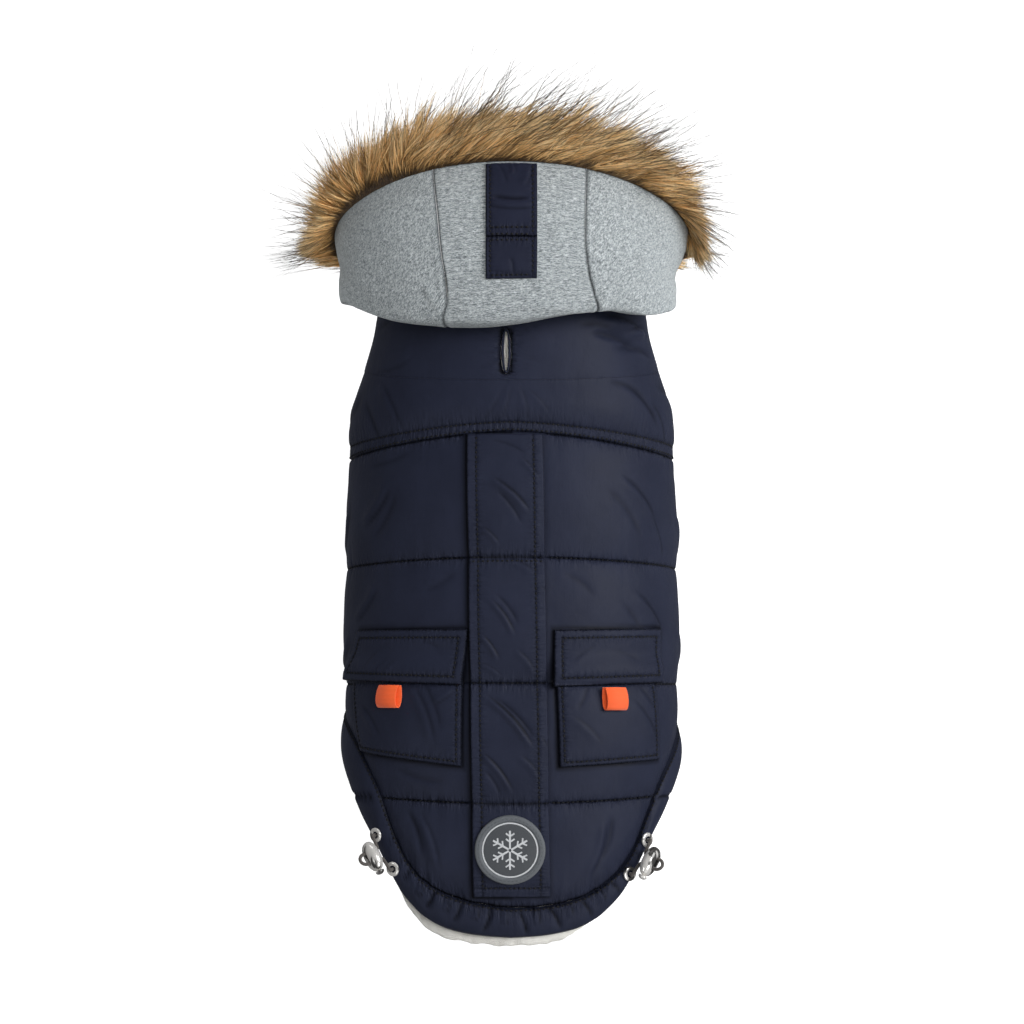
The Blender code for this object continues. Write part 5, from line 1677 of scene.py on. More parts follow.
def make_badge():
    """A round rubber badge with a raised, sewn rim and a plain snow crystal."""
    sides = 120
    shares = np.array([0.12, 0.25, 0.38, 0.5, 0.6, 0.68, 0.735, 0.75, 0.765, 0.78, 0.795,
                       0.81, 0.83, 0.85, 0.88, 0.91, 0.94, 0.962, 0.98, 0.993, 1.0])[:, None]
    top, _ = badge_points(shares, turns(sides), badge_profile(shares))
    low, _ = badge_points(shares[[-1, 6]], turns(sides), 0.0)
    tip, base = (badge_points(np.zeros(1), 0.0, lift)[0] for lift in (BADGE_FACE, 0.0))
    points = np.concatenate([tip, top.reshape(-1, 3), low.reshape(-1, 3), base])
    index = 1 + np.arange((len(shares) + 2) * sides).reshape(-1, sides)
    faces = [face[::-1] for face in grid_quads(index, ring=True)]
    last = len(points) - 1
    for i in range(sides):
        j = (i + 1) % sides
        faces.append((0, int(index[0, i]), int(index[0, j])))
        faces.append((last, int(index[-1, j]), int(index[-1, i])))
    obj = volume_outwards(mesh_object("rubber_badge", points, faces, sharp=50.0))
    finish_piece(obj, RUBBER, "grey_rubber", "badge")
    obj.data.materials.append(RUBBER_RIM)
    for face in obj.data.polygons:
        x, y = face.center.x / MM - tip[0, 0], face.center.y / MM - tip[0, 1]
        if 0.806 < math.hypot(x, y) / BADGE_RADIUS and face.normal.z > -0.2:
            face.material_index = 1
    ring, up = badge_points(0.90, np.linspace(0, 2 * np.pi, 361), 2.2)
    sew(ring, up, pitch=2.4, length=1.7, width=0.42, kind="grey")
    make_badge_lines()


def make_badge_lines():
    """The raised pale ring and the six-armed crystal inside it."""
    strokes = []
    turn = np.linspace(0, 2 * np.pi, 121)
    strokes.append((0.775 * np.sin(turn), 0.775 * np.cos(turn), 0.45))
    for arm in range(6):
        heading = math.pi / 3 * arm
        reach = np.linspace(0.04, 0.56, 14)
        strokes.append((reach * math.sin(heading), reach * math.cos(heading), 0.62))
        for start in (0.24, 0.40):
            for lean in (-1, 1):
                out = np.linspace(0.0, 0.15, 6)
                x = start * math.sin(heading) + out * math.sin(heading + lean * 0.96)
                y = start * math.cos(heading) + out * math.cos(heading + lean * 0.96)
                strokes.append((x, y, 0.5))
    points, faces, total = [], [], 0
    for x, y, half in strokes:
        line, up = badge_points(np.hypot(x, y), np.arctan2(x, y), BADGE_FACE)
        side = np.cross(up, unit(np.gradient(line, axis=0)))
        profile = ((-half, -0.1), (-half * 0.8, 0.28), (half * 0.8, 0.28), (half, -0.1))
        points.append(sweep(line, side, up, profile).reshape(-1, 3))
        faces += [[number + total for number in face]
                  for face in tube_faces(len(line), len(profile))]
        total += len(points[-1])
    obj = mesh_object("badge_lines", np.concatenate(points), faces, sharp=40.0)
    finish_piece(obj, RUBBER_LINE, "grey_rubber")


# Hood

HOOD_SEAMS = Table("share left right", (
    (0.0, 21.5, 25.0), (0.20, 21.0, 27.0), (0.27, 20.9, 28.0), (0.35, 20.8, 28.0),
    (0.425, 18.9, 25.9), (0.505, 19.3, 23.8), (0.575, 20.4, 22.6), (0.655, 21.2, 21.8),
    (0.765, 21.9, 21.8), (0.94, 23.1, 22.1), (1.0, 23.3, 22.1),
))
HOOD_DEGREE = 1.83
# Creases are (degrees, share x HOOD_LENGTH, and the same again, half width, height)
HOOD_CREASES = tuple((a * HOOD_DEGREE, b, c * HOOD_DEGREE, *rest) for a, b, c, *rest in (
    (-26, 92, -21, 72, 3.4, 0.9), (-17, 88, -18, 66, 2.8, -0.8), (-30, 70, -23, 60, 3.0, -0.4),
    (30, 88, 30, 66, 2.6, 1.2), (24, 84, 25, 62, 2.6, -0.9), (44, 62, 70, 66, 4.0, 1.4),
    (40, 54, 66, 56, 3.6, -1.3), (-60, 120, -48, 84, 9.0, 0.9), (-80, 130, -66, 96, 9.0, -0.8),
    (52, 132, 44, 96, 9.0, 0.8), (76, 140, 66, 100, 9.0, -0.8), (4, 76, 18, 72, 5.0, 0.6),
    (-12, 58, 12, 57, 6.0, 0.6), (-96, 110, -112, 90, 8.0, 1.2), (96, 108, 112, 88, 8.0, 1.2),
    (-108, 150, -126, 120, 7.0, -0.9), (108, 150, 126, 122, 7.0, -0.9),
    (-70, 60, -100, 56, 5.0, -1.0), (84, 64, 110, 56, 5.0, -1.0),
))
# Where the hood is pushed: at degrees, reach, at share, reach, and by x and y
HOOD_PUSHES = (
    (-65.0, 16.0, 0.27, 0.10, -6.8, 8.6), (66.0, 15.0, 0.27, 0.10, 6.0, -2.6),
    (-84.0, 24.0, 0.64, 0.12, 2.0, 0.0), (86.0, 26.0, 0.58, 0.16, -5.8, 0.0),
    (17.0, 16.0, 0.22, 0.16, 0.0, 5.5), (34.0, 11.0, 0.22, 0.16, 0.0, 4.0),
)


def hood_bare(angle, share):
    angle, share = np.broadcast_arrays(np.asarray(angle, float), np.asarray(share, float))
    share = np.clip(share, 0.0, 1.0)
    side, up = np.sin(np.radians(angle)), np.cos(np.radians(angle))
    top, mid, low = (HOOD.at(c, share) for c in ("y_top", "y_side", "y_throat"))
    y = mid + (top - low) / 2 * up + ((top + low) / 2 - mid) * up * up
    rise = 0.5 + 0.5 * signed_power(up, 0.85)
    z = lerp(HOOD.at("z_throat", share), HOOD.at("z_top", share), rise)
    bulge = pillow(share / 0.6, 1.0)
    y = y + HOOD_SKEW * side * bulge
    x = HOOD.at("half_width", share) * signed_power(side, HOOD_ROUNDNESS)
    x = x - HOOD_RIGHT_TUCK * np.maximum(0.0, side) * bulge
    for at, reach, at_share, share_reach, dx, dy in HOOD_PUSHES:
        push = np.exp(-((angle - at) / reach) ** 2 - ((share - at_share) / share_reach) ** 2)
        x, y = x + dx * push, y + dy * push
    leave = np.minimum(1.0, share / HOOD.keys[0])[..., None]
    whole = np.stack([x, y, z - ORIGIN_HEIGHT], -1)
    return lerp(base_point(angle, -HOOD_NECK_CLEARANCE), whole, leave)


def hood_normal(angle, share):
    step = 0.02
    round_it = hood_bare(angle + 2.0, share) - hood_bare(angle - 2.0, share)
    ahead = hood_bare(angle, np.minimum(share + step, 1.0)) - hood_bare(angle, share - step)
    return unit(np.cross(round_it, ahead))


def hood_point(angle, share, lift=0.0):
    lift = np.asarray(lift, float)[..., None]
    return hood_bare(angle, share) + hood_normal(angle, share) * lift


def hood_share(angle, v):
    past = np.maximum(0.0, np.abs(angle) - (HOOD_END_ANGLE - HOOD_CORNER)) / HOOD_CORNER
    return v * (1.0 - HOOD_CORNER_CUT * past ** 2)


def hood_seam_distance(angle, share):
    """How far a place on the hood is from the nearer of its two seams."""
    left = angle + HOOD_SEAMS.at("left", share)
    right = angle - HOOD_SEAMS.at("right", share)
    return np.minimum(np.abs(left), np.abs(right)) * HOOD_DEGREE


def hood_lift(angle, share):
    around, out = angle * HOOD_DEGREE, share * HOOD_LENGTH
    detail = creased(around, out, HOOD_CREASES) + soft_waves(around, out, 0.8, 121)
    gap = hood_seam_distance(angle, share)
    detail = detail * lerp(0.4, 1.0, smooth(gap / 9.0))
    detail += 0.15 * np.exp(-((gap - 2.6) / 2.0) ** 2) - 0.5 * tuck(gap, 0.45)
    under_strap = smooth((STRAP_WIDTH / 2 + 5.0 - np.abs(around)) / 5.0) * smooth(
        (share - STRAP_END_SHARE + 0.03) / 0.03)
    return HOOD_CLOTH + detail * (1.0 - 0.9 * under_strap) * smooth(share / 0.08)


def hood_skin(name, angles, shares, lift, floor, across, fold):
    """Cloth on the hood, from a floor to a lifted face. across is its place sideways."""
    low = np.s_[::COARSE, ::COARSE]
    cloth = np.stack([across, shares * HOOD_LENGTH], -1)
    return skin(name, hood_point(angles, shares, lift),
                hood_point(angles[low], shares[low], floor), cloth, fold=fold)


def make_hood():
    gap = 0.12
    for node, mat, step in (("hood_centre", JERSEY_CENTRE, 1.5), ("hood_left", JERSEY_SIDE, 1.9),
                            ("hood_right", JERSEY_SIDE, 1.9)):
        v = np.linspace(0.0, 1.0, steps_for(HOOD_ARC, step) + 1)
        left, right = -HOOD_SEAMS.at("left", v), HOOD_SEAMS.at("right", v)
        edge = np.full_like(v, HOOD_END_ANGLE)
        start, end = {"hood_centre": (left + gap, right - gap), "hood_left": (-edge, left - gap),
                      "hood_right": (right + gap, edge)}[node]
        columns = steps_for(float(np.mean(end - start)) * HOOD_DEGREE, step)
        angles = lerp(start[:, None], end[:, None], np.linspace(0.0, 1.0, columns + 1))
        shares = hood_share(angles, v[:, None])
        # Painted shade along the hood's seams
        fold = seam_shade_and_gathers((hood_seam_distance(angles, shares), 0.95, 0.5, UPRIGHT, 1.0))
        panel = hood_skin(f"{node}_cloth", angles, shares, hood_lift(angles, shares), 0.0,
                          angles * HOOD_DEGREE, fold)
        finish_piece(panel, mat, "grey_jersey", node)


STRAP_WIDTH = 29.5
STRAP_JOIN = 0.66
STRAP_END_SHARE = 0.500
STRAP_STITCHES = 2.6
STRAP_CREASES = (
    (0.5, 176.0, -0.5, 187.0, 1.3, 0.45), (-11, 158, 9, 156, 2.6, -0.7),
    (-12, 152, 12, 151, 2.6, 0.45), (-3, 168, -8, 186, 1.6, -0.25), (6, 166, 9, 184, 2.0, 0.25),
    (0.8, 98, -0.6, 110, 1.2, -0.35), (-10, 104, 10, 103, 3.0, 0.2),
)


def strap_place(across, share):
    half = HOOD.at("half_width", share)
    lean = signed_power(across / half, 1 / HOOD_ROUNDNESS)
    return np.degrees(np.arcsin(np.clip(lean, -1.0, 1.0)))


def strap_lift(across, share, start, end):
    """The strap's upper face over the hood's cloth."""
    out, rim = share * HOOD_LENGTH, STRAP_WIDTH / 2 - np.abs(across)
    inset = np.minimum(rim, np.minimum(start * HOOD_LENGTH - out, out - end * HOOD_LENGTH))
    detail = 1.6 * creased(across, out, STRAP_CREASES) + soft_waves(across, out, 0.35, 131)
    detail = detail * smooth(inset / 4.0) - 0.35 * tuck(rim - STRAP_STITCHES, 0.9)
    return patch_top(HOOD_CLOTH + SEAM_GAP, PATCH_CLOTH + 0.35 + detail, inset, 0.8)


def make_hood_straps():
    """Two straps. Each has a start, an end, its length in metres and two rows of stitches."""
    stitched = STRAP_WIDTH / 2 - STRAP_STITCHES
    for part, start, end, length, rows in (
            ("upper", 0.985, STRAP_JOIN, 0.062, ((0.695, 0.697), (0.668, 0.667))),
            ("lower", 0.6594, STRAP_END_SHARE, 0.035, ((0.514, 0.515), (0.6434, 0.6444)))):
        t = np.linspace(-1.0, 1.0, 41)
        across = STRAP_WIDTH / 2 * lerp(t, np.sin(0.5 * np.pi * t), 0.35)
        shares = np.linspace(start, end, steps_for(length / MM, 0.75) + 1)
        across, shares = np.meshgrid(across, shares)
        rim = STRAP_WIDTH / 2 - np.abs(across)
        # Painted shade at the strap's stitching, edges, joins and creases
        fold = seam_shade_and_gathers(
            (rim - STRAP_STITCHES, 0.5, 0.5, UPRIGHT, 1.8), (rim, 0.5, 0.6, UPRIGHT, 1.0),
            ((shares - STRAP_JOIN) * HOOD_LENGTH, 1.0, 0.8, LEVEL, 3.0),
            ((shares - 0.696) * HOOD_LENGTH, 0.5, 0.5, LEVEL, 2.6),
            ((shares - STRAP_END_SHARE - 0.014) * HOOD_LENGTH, 0.5, 0.5, LEVEL, 2.0),
            creases=0.9 * crease_shade(across, shares * HOOD_LENGTH, STRAP_CREASES))
        strap = hood_skin(f"strap_cloth_{part}", strap_place(across, shares), shares,
                          strap_lift(across, shares, start, end), HOOD_CLOTH + SEAM_GAP, across,
                          fold)
        finish_piece(strap, NAVY_TAPE, "navy_webbing", f"hood_strap_{part}")
        lines = [((side * stitched, start - 0.01), (side * stitched, end + 0.012))
                 for side in (-1, 1)]
        lines += [((-stitched, left), (stitched, right)) for left, right in rows]
        for (ax, ay), (bx, by) in lines:
            across, share = np.linspace(ax, bx, 90), np.linspace(ay, by, 90)
            angle = strap_place(across, share)
            lift = strap_lift(across, share, start, end)
            sew(hood_point(angle, share, lift + STITCH_LIFT), hood_normal(angle, share),
                pitch=2.8, length=1.6, width=1.45)


# Fur

FUR_END = 0.97
FACE_CENTRE_Z = -8.0
FORWARD = np.array([0.0, 1.0, 0.0])
FUR_PIECES = 3
STRANDS = 20500
FUR_SECTIONS = np.array([0.0, 0.25, 0.52, 0.78, 1.0])
LOCKS = 300
WISPS = 1500
GUARD_SHARE = 0.042
GUARD_WIDTH = 0.27
HAIR_WIDTHS = (0.32, 0.56)
HAIR_NARROWING = np.array([0.85, 1.0, 0.90, 0.52, 0.0])
# heading is the way the hairs are combed, seen from above, from the dog's right side.
# width is how far the strip that they grow from reaches over the rim
FUR_COMB = Table("angle heading rise length width", (
    (-148.0, 215.0, -0.60, 27.0, 6.0),
    (-110.0, 200.0, -0.20, 24.0, 5.0),
    (-90.0, 187.0, 0.02, 22.0, 4.0),
    (-75.0, 164.0, 0.14, 22.5, 4.5),
    (-62.0, 130.0, 0.24, 24.5, 6.0),
    (-50.0, 99.0, 0.30, 27.0, 8.0),
    (-40.0, 76.0, 0.34, 30.5, 10.0),
    (-28.0, 55.0, 0.38, 32.5, 12.0),
    (-12.0, 41.0, 0.40, 35.5, 14.0),
    (8.0, 33.0, 0.40, 33.0, 13.0),
    (26.0, 26.0, 0.38, 30.5, 11.0),
    (42.0, 12.0, 0.32, 26.0, 8.5),
    (58.0, -10.0, 0.24, 20.5, 6.0),
    (74.0, -40.0, 0.12, 17.5, 4.0),
    (90.0, -68.0, 0.0, 16.0, 3.0),
    (110.0, -60.0, -0.25, 19.0, 4.0),
    (148.0, -50.0, -0.60, 26.0, 5.0),
))
FUR_LIMITS = np.array([(-157.5, -80.0, -140.0), (157.5, 220.5, 90.5)])


def rim_angle(place):
    """The angle round the hood at a place from -1 to 1 on the trim."""
    return place * HOOD_END_ANGLE * FUR_END


def rim_frame(angle):
    share = hood_share(angle, 1.0)
    edge = hood_bare(angle, share) + hood_normal(angle, share) * HOOD_CLOTH / 2
    radial = edge * (1.0, 0.0, 1.0) - (0.0, 0.0, FACE_CENTRE_Z)
    return edge, unit(radial)


RIM_PLACES = np.linspace(-1.0, 1.0, 801)
RIM_RUN = walked(rim_frame(rim_angle(RIM_PLACES))[0])
RIM_LENGTH = RIM_RUN[-1]
RIM_RUN = RIM_RUN / RIM_LENGTH


def fur_frames(place):
    """The rim, its outward and crosswise directions, and the radial one, along the rim."""
    angle = rim_angle(place)
    edge, radial = rim_frame(angle)
    aside = np.sin(np.radians(np.minimum(np.abs(angle), 90.0)))[..., None]
    lean = np.radians(lerp(22.0, 58.0, aside))
    out = FORWARD * np.cos(lean) + radial * np.sin(lean)
    across = radial * np.cos(lean) - FORWARD * np.sin(lean)
    return edge, out, across, radial


def comb_direction(place, turn, lift):
    """The way a hair points, turned and lifted by its own amount in degrees and as a share."""
    angle = rim_angle(place)
    _, out, _, radial = fur_frames(place)
    heading = np.radians(FUR_COMB.at("heading", angle) + turn)
    rise = FUR_COMB.at("rise", angle) + lift
    above = np.stack([np.cos(heading), np.sin(heading), rise], -1)
    spin = np.radians(turn)[..., None]
    aside = np.cross(out, radial)
    below = radial * np.cos(spin) + aside * np.sin(spin) + FORWARD * (0.45 + lift[..., None])
    below = below * np.where(angle > 0, 0.35, 1.0)[..., None] ** (1.0, 0.0, 0.0)
    share = smooth((np.abs(angle) - 84.0) / 26.0)[..., None]
    return unit(lerp(unit(above), unit(below), share))


def nearest_lock(run, depth, out, number, seed):
    """The lock that each hair is gathered into, out of a number spread along the trim."""
    rng = np.random.default_rng(seed)
    places = np.sort(rng.random(number))
    depths, outs = rng.uniform(-1, 1, number), rng.random(number)
    near = np.searchsorted(places, run)
    best, least = np.zeros(len(run), int), np.full(len(run), 1e9)
    for shift in range(-9, 10):
        option = np.clip(near + shift, 0, number - 1)
        far = (((run - places[option]) * RIM_LENGTH) ** 2 + (depth - depths[option]) ** 2 * 60.0
               + (out - outs[option]) ** 2 * 120.0)
        closer = far < least
        best, least = np.where(closer, option, best), np.where(closer, far, least)
    return best, places[best], depths[best], outs[best], rng


def fur_roots(place, out, depth):
    """Where hairs grow: on the face of a soft fold of backing round the rim."""
    angle = rim_angle(place)
    edge, outward, across, _ = fur_frames(place)
    width = FUR_COMB.at("width", angle)[:, None]
    o, d = out[:, None], depth[:, None]
    bulge = 1.2 + 3.6 * np.sin(np.pi * np.clip(0.12 + 0.80 * o, 0, 1))
    return (edge + FORWARD * (0.4 + 2.6 * place[:, None] ** 2) + outward * width * o
            + across * d * bulge)


def hair_lines(place, out, depth, length, turn, lift, bend):
    """Centre lines of hairs, (count, sections, 3), led from their roots."""
    _, _, across, _ = fur_frames(place)
    points = [fur_roots(place, out, depth)]
    fan = across * (depth * 0.42)[:, None]
    for before, after in zip(FUR_SECTIONS, FUR_SECTIONS[1:]):
        s = (before + after) / 2
        way = comb_direction(place, turn + bend * (s - 0.4), lift - 0.22 * (s - 0.45))
        way = unit(way + fan * (1.25 - 0.75 * s))
        points.append(points[-1] + way * (length * (after - before))[:, None])
    return np.stack(points, 1)


def held_below(values, most, bend=6.0):
    """Values that bend off softly as they come near a limit."""
    over = np.maximum(values - (most - bend), 0.0)
    return np.minimum(values, most - bend) + bend * (1.0 - np.exp(-over / bend))


def fur_strands(count, seed):
    """The centre lines of many hairs, which of them are guard hairs, and their faces' way."""
    rng = np.random.default_rng(seed)
    run = rng.random(count)
    place = np.interp(run, RIM_RUN, RIM_PLACES)
    side = np.where(rng.random(count) < 0.62, 1.0, -1.0)
    depth = side * rng.random(count) ** 0.45
    out = rng.random(count) ** 1.25
    guard = rng.random(count) < GUARD_SHARE
    lock, *_, lock_rng = nearest_lock(run, depth, out, LOCKS, 77)
    lock_turns = lock_rng.normal(0.0, 9.0, LOCKS)
    lifts = lock_rng.normal(0.0, 0.12, LOCKS)
    bends = lock_rng.normal(-14.0, 16.0, LOCKS)
    sizes = lock_rng.uniform(0.62, 1.22, LOCKS)
    wisp, wisp_run, wisp_depth, wisp_out, wisp_rng = nearest_lock(run, depth, out, WISPS, 78)
    fine_turns = wisp_rng.normal(0.0, 6.0, WISPS)
    angle = rim_angle(place)
    length = FUR_COMB.at("length", angle) * np.minimum(1.0, 0.5 + 5.0 * (1.0 - np.abs(place)))
    size = sizes[lock] * (0.34 + 0.76 * rng.random(count) ** 1.15)
    size = np.where(guard, 1.2 + 1.5 * rng.random(count) ** 1.1, size)
    turn = lock_turns[lock] + fine_turns[wisp] + rng.normal(0.0, 5.0, count)
    turn = turn + np.where(guard, rng.normal(0.0, 14.0, count), 0.0)
    lift = lifts[lock] + rng.normal(0.0, 0.07, count)
    bend = bends[lock] + rng.normal(0.0, 10.0, count)
    lines = hair_lines(place, out, depth, length * size, turn, lift, bend)
    middle = np.interp(wisp_run, RIM_RUN, RIM_PLACES)
    middle_length = FUR_COMB.at("length", rim_angle(middle)) * sizes[lock] * 0.95
    guide = hair_lines(middle, wisp_out, wisp_depth, middle_length,
                       lock_turns[lock] + fine_turns[wisp], lifts[lock], bends[lock])
    s = FUR_SECTIONS[None, :, None]
    pull = np.where(guard, 0.10, rng.uniform(0.25, 0.80, count))[:, None, None] * s ** 1.4
    heading = unit(np.gradient(guide, axis=1))
    apart = guide - lines
    apart = apart - 0.85 * heading * (apart * heading).sum(-1, keepdims=True)
    lines = lines + apart * pull
    lines[:, 1:] += rng.normal(0.0, 0.30, (count, len(FUR_SECTIONS) - 1, 3)) * s[:, 1:]
    low, high = FUR_LIMITS
    lines = -held_below(-held_below(lines, high), -low)
    _, outward, across, radial = fur_frames(place)
    facing = unit(across * depth[:, None] + radial * 0.8 + outward * 0.1)
    return lines, guard, facing, rng


def make_fur():
    for number in range(FUR_PIECES):
        lines, guard, facing, rng = fur_strands(STRANDS, 300 + number)
        count = len(lines)
        heading = unit(np.gradient(lines, axis=1))
        facing = unit(facing + rng.normal(0.0, 0.38, facing.shape))
        side = unit(np.cross(heading, facing[:, None]))
        widths = np.where(guard, GUARD_WIDTH, rng.uniform(*HAIR_WIDTHS, count))[:, None]
        half = (widths * HAIR_NARROWING / 2)[..., None]
        left, right = lines - side * half, lines + side * half
        points = np.concatenate([np.stack([left[:, :-1], right[:, :-1]], 2).reshape(count, -1, 3),
                                 lines[:, -1:]], 1)
        per = points.shape[1]
        base = (np.arange(count) * per)[:, None]
        steps = np.arange(len(FUR_SECTIONS) - 2) * 2
        quads = np.stack([steps, steps + 1, steps + 3, steps + 2], -1)
        quads = (base[..., None] + quads[None]).reshape(-1, 4)
        tips = base + np.array([per - 3, per - 2, per - 1])
        obj = mesh_object(f"fur_hairs_{number + 1}", points.reshape(-1, 3),
                          quads.tolist() + tips.tolist())
        first_guard = round(FUR_CLASSES * GUARD_FROM)
        kinds = np.where(guard, rng.integers(first_guard + 1, FUR_CLASSES, count),
                         rng.integers(0, first_guard, count))
        left_u, right_u = (kinds + 0.2) / FUR_CLASSES, (kinds + 0.8) / FUR_CLASSES
        up = np.append(np.repeat(FUR_SECTIONS[:-1], 2), 1.0)
        v = np.broadcast_to(0.01 + 0.98 * up, (count, per))
        u = np.empty((count, per))
        u[:, 0:-1:2], u[:, 1:-1:2] = left_u[:, None], right_u[:, None]
        u[:, -1] = (left_u + right_u) / 2
        set_bake_map(obj.data, np.stack([u, v], -1).reshape(-1, 2))
        nodes = ("fur_trim",) if number == 0 else ()
        finish_piece(obj, FUR, "fur", *nodes)
    make_fur_backing()


def set_bake_map(mesh, places):
    layer = mesh.uv_layers.new(name="OFBake")
    loops = np.empty(len(mesh.loops), np.int32)
    mesh.loops.foreach_get("vertex_index", loops)
    layer.data.foreach_set("uv", places[loops].astype(np.float32).ravel())


def make_fur_backing():
    """The fold of backing that the hairs grow from, hidden by them."""
    place = np.interp(np.linspace(0.0, 1.0, 300), RIM_RUN, RIM_PLACES)
    over = ((0.0, 0.7), (0.2, 0.9), (0.5, 0.92), (0.8, 0.9), (1.0, 0.6))
    under = ((1.0, -0.6), (0.8, -0.9), (0.5, -0.92), (0.2, -0.9), (0.0, -0.7))
    rings = [fur_roots(place, np.full(len(place), out), np.full(len(place), depth))
             for out, depth in (*over, *under)]
    finish_piece(tube("fur_backing_strip", np.stack(rings, 1)), FUR_SKIN, "fur")


# Hardware

EYELETS = {"front": (52.5, 315.5), "rear": (44.5, 335.0)}
LOCK_LENGTH = 18.5
LOCK_DEPTH = 12.0
LOCK_THICKNESS = 8.5


def eyelet_frame(side, label):
    angle, along = EYELETS[label]
    angle, along = side * angle, along + (2.8 if side > 0 else 0.0)
    lift = float(hem_top(np.array(angle), np.array(along))) + 1.1
    return coat_point(angle, along, lift), coat_normal(angle, along)


def facing(centre, outward, guide):
    """A matrix with +Z outward and +Y as near the guide as it can be."""
    z = Vector(outward).normalized()
    x = Vector(guide).cross(z).normalized()
    basis = Matrix((x, z.cross(x), z)).transposed().to_4x4()
    return Matrix.Translation(Vector(centre) * MM) @ basis


def turned(name, profile, sides, matrix, closed=False):
    """A turned piece in its place. profile is (radius, height) from top to bottom."""
    radius, height = np.asarray(profile, float).T[:, :, None]
    turn = turns(sides)
    rings = np.stack([radius * np.cos(turn), radius * np.sin(turn),
                      np.broadcast_to(height, (len(profile), sides))], -1)
    obj = tube(name, rings, closed, sharp=50.0)
    obj.data.transform(matrix)
    return obj


def lock_frame(side):
    front, out_a = eyelet_frame(side, "front")
    rear, out_b = eyelet_frame(side, "rear")
    long_axis = unit(rear - front)
    away = unit(out_a + out_b) + np.array([side * 0.25, -0.25, -0.1])
    away = unit(away - long_axis * away.dot(long_axis))
    return (front + rear) / 2 + away * 8.8, away, long_axis


def cord_route(side):
    front, out_a = eyelet_frame(side, "front")
    rear, out_b = eyelet_frame(side, "rear")
    centre, away, long_axis = lock_frame(side)
    reach, half = 3.2, LOCK_THICKNESS / 2
    entry, leave = centre - away * (half + 1.2), centre + away * (half + 0.6)
    route = [front - out_a * 0.2, front + out_a * 1.6, front + out_a * 3.0,
             entry - long_axis * (reach + 0.3), centre - long_axis * reach,
             leave - long_axis * reach]
    for step in range(1, 6):
        turn = math.pi * step / 6
        route.append(leave - long_axis * reach * math.cos(turn) + away * 4.0 * math.sin(turn))
    route += [leave + long_axis * reach, centre + long_axis * reach,
              entry + long_axis * (reach + 0.3), rear + out_b * 3.0, rear + out_b * 1.6,
              rear - out_b * 0.2]
    return np.array(route)


def smooth_line(points, step):
    padded = np.concatenate([[points[0] * 2 - points[1]], points, [points[-1] * 2 - points[-2]]])
    t = np.linspace(0.0, 1.0, 12, endpoint=False)[:, None]
    dense = [0.5 * (2 * b + (c - a) * t + (2 * a - 5 * b + 4 * c - d) * t * t
                    + (3 * b - a - 3 * c + d) * t ** 3)
             for a, b, c, d in zip(padded, padded[1:], padded[2:], padded[3:])]
    return resample(np.concatenate([*dense, points[-1:]]), step=step)


def make_hardware():
    for label, side in (("left", -1), ("right", 1)):
        for which in EYELETS:
            centre, outward = eyelet_frame(side, which)
            turn = np.linspace(0.0, np.pi, 13)
            bead = [(3.2 - 1.1 * math.cos(t), 0.42 + 0.52 * math.sin(t)) for t in turn]
            profile = [*bead, (4.32, 0.20), (4.38, 0.0), (4.2, -0.35), (3.0, -0.42), (2.3, -0.4),
                       (2.1, -0.1)]
            eyelet = turned(f"eyelet_ring_{which}_{label}", profile, 56,
                            facing(centre, outward, (0.0, 1.0, 0.2)), closed=True)
            finish_piece(eyelet, METAL, "polished_metal", f"eyelet_{which}_{label}")
        make_lock(label, side)
        make_cord(label, side)


def make_lock(label, side):
    """A bean-shaped sprung lock with a slot through it and a push button on its end."""
    centre, away, long_axis = lock_frame(side)
    along = np.sin(0.5 * np.pi * np.linspace(-1.0, 1.0, 41))[:, None]
    girth = np.maximum(1.0 - np.abs(along) ** 2.5, 0.0) ** 0.46
    waist = 1.0 - 0.05 * np.exp(-((np.abs(along) - 0.74) / 0.035) ** 2)
    size = np.maximum(girth * waist, 0.02)
    turn = turns(48)
    points = np.stack([LOCK_DEPTH / 2 * signed_power(np.cos(turn), 0.9) * size,
                       np.broadcast_to(along * LOCK_LENGTH / 2, (len(along), len(turn))),
                       LOCK_THICKNESS / 2 * signed_power(np.sin(turn), 0.9) * size], -1)
    body = tube(f"lock_body_{label}", points)
    turn, reach, straight = turns(48, 0.5), 1.45, 3.3
    y = reach * np.sin(turn) + straight * np.sign(np.sin(turn))
    cutter = plug(f"lock_slot_{label}", flat(reach * np.cos(turn), y), np.array([0, 0, 15.0]))
    cut_out(body, [cutter])
    bpy.data.objects.remove(cutter)
    body.data.transform(facing(centre, away, long_axis))
    body.data.shade_smooth()
    body.data.set_sharp_from_angle(angle=math.radians(45.0))
    finish_piece(body, METAL, "polished_metal", f"cord_lock_{label}")
    end = centre + long_axis * (LOCK_LENGTH / 2 + SEAM_GAP)
    dome = [(2.6 * math.sin(a), 0.6 + 1.6 * math.cos(a)) for a in np.linspace(0.15, 1.45, 8)]
    button = turned(f"lock_push_button_{label}", [(0.05, 2.2), *dome, (2.7, 0.3), (2.7, 0.0)], 40,
                    facing(end, long_axis, away))
    finish_piece(button, METAL, "polished_metal", f"lock_button_{label}")


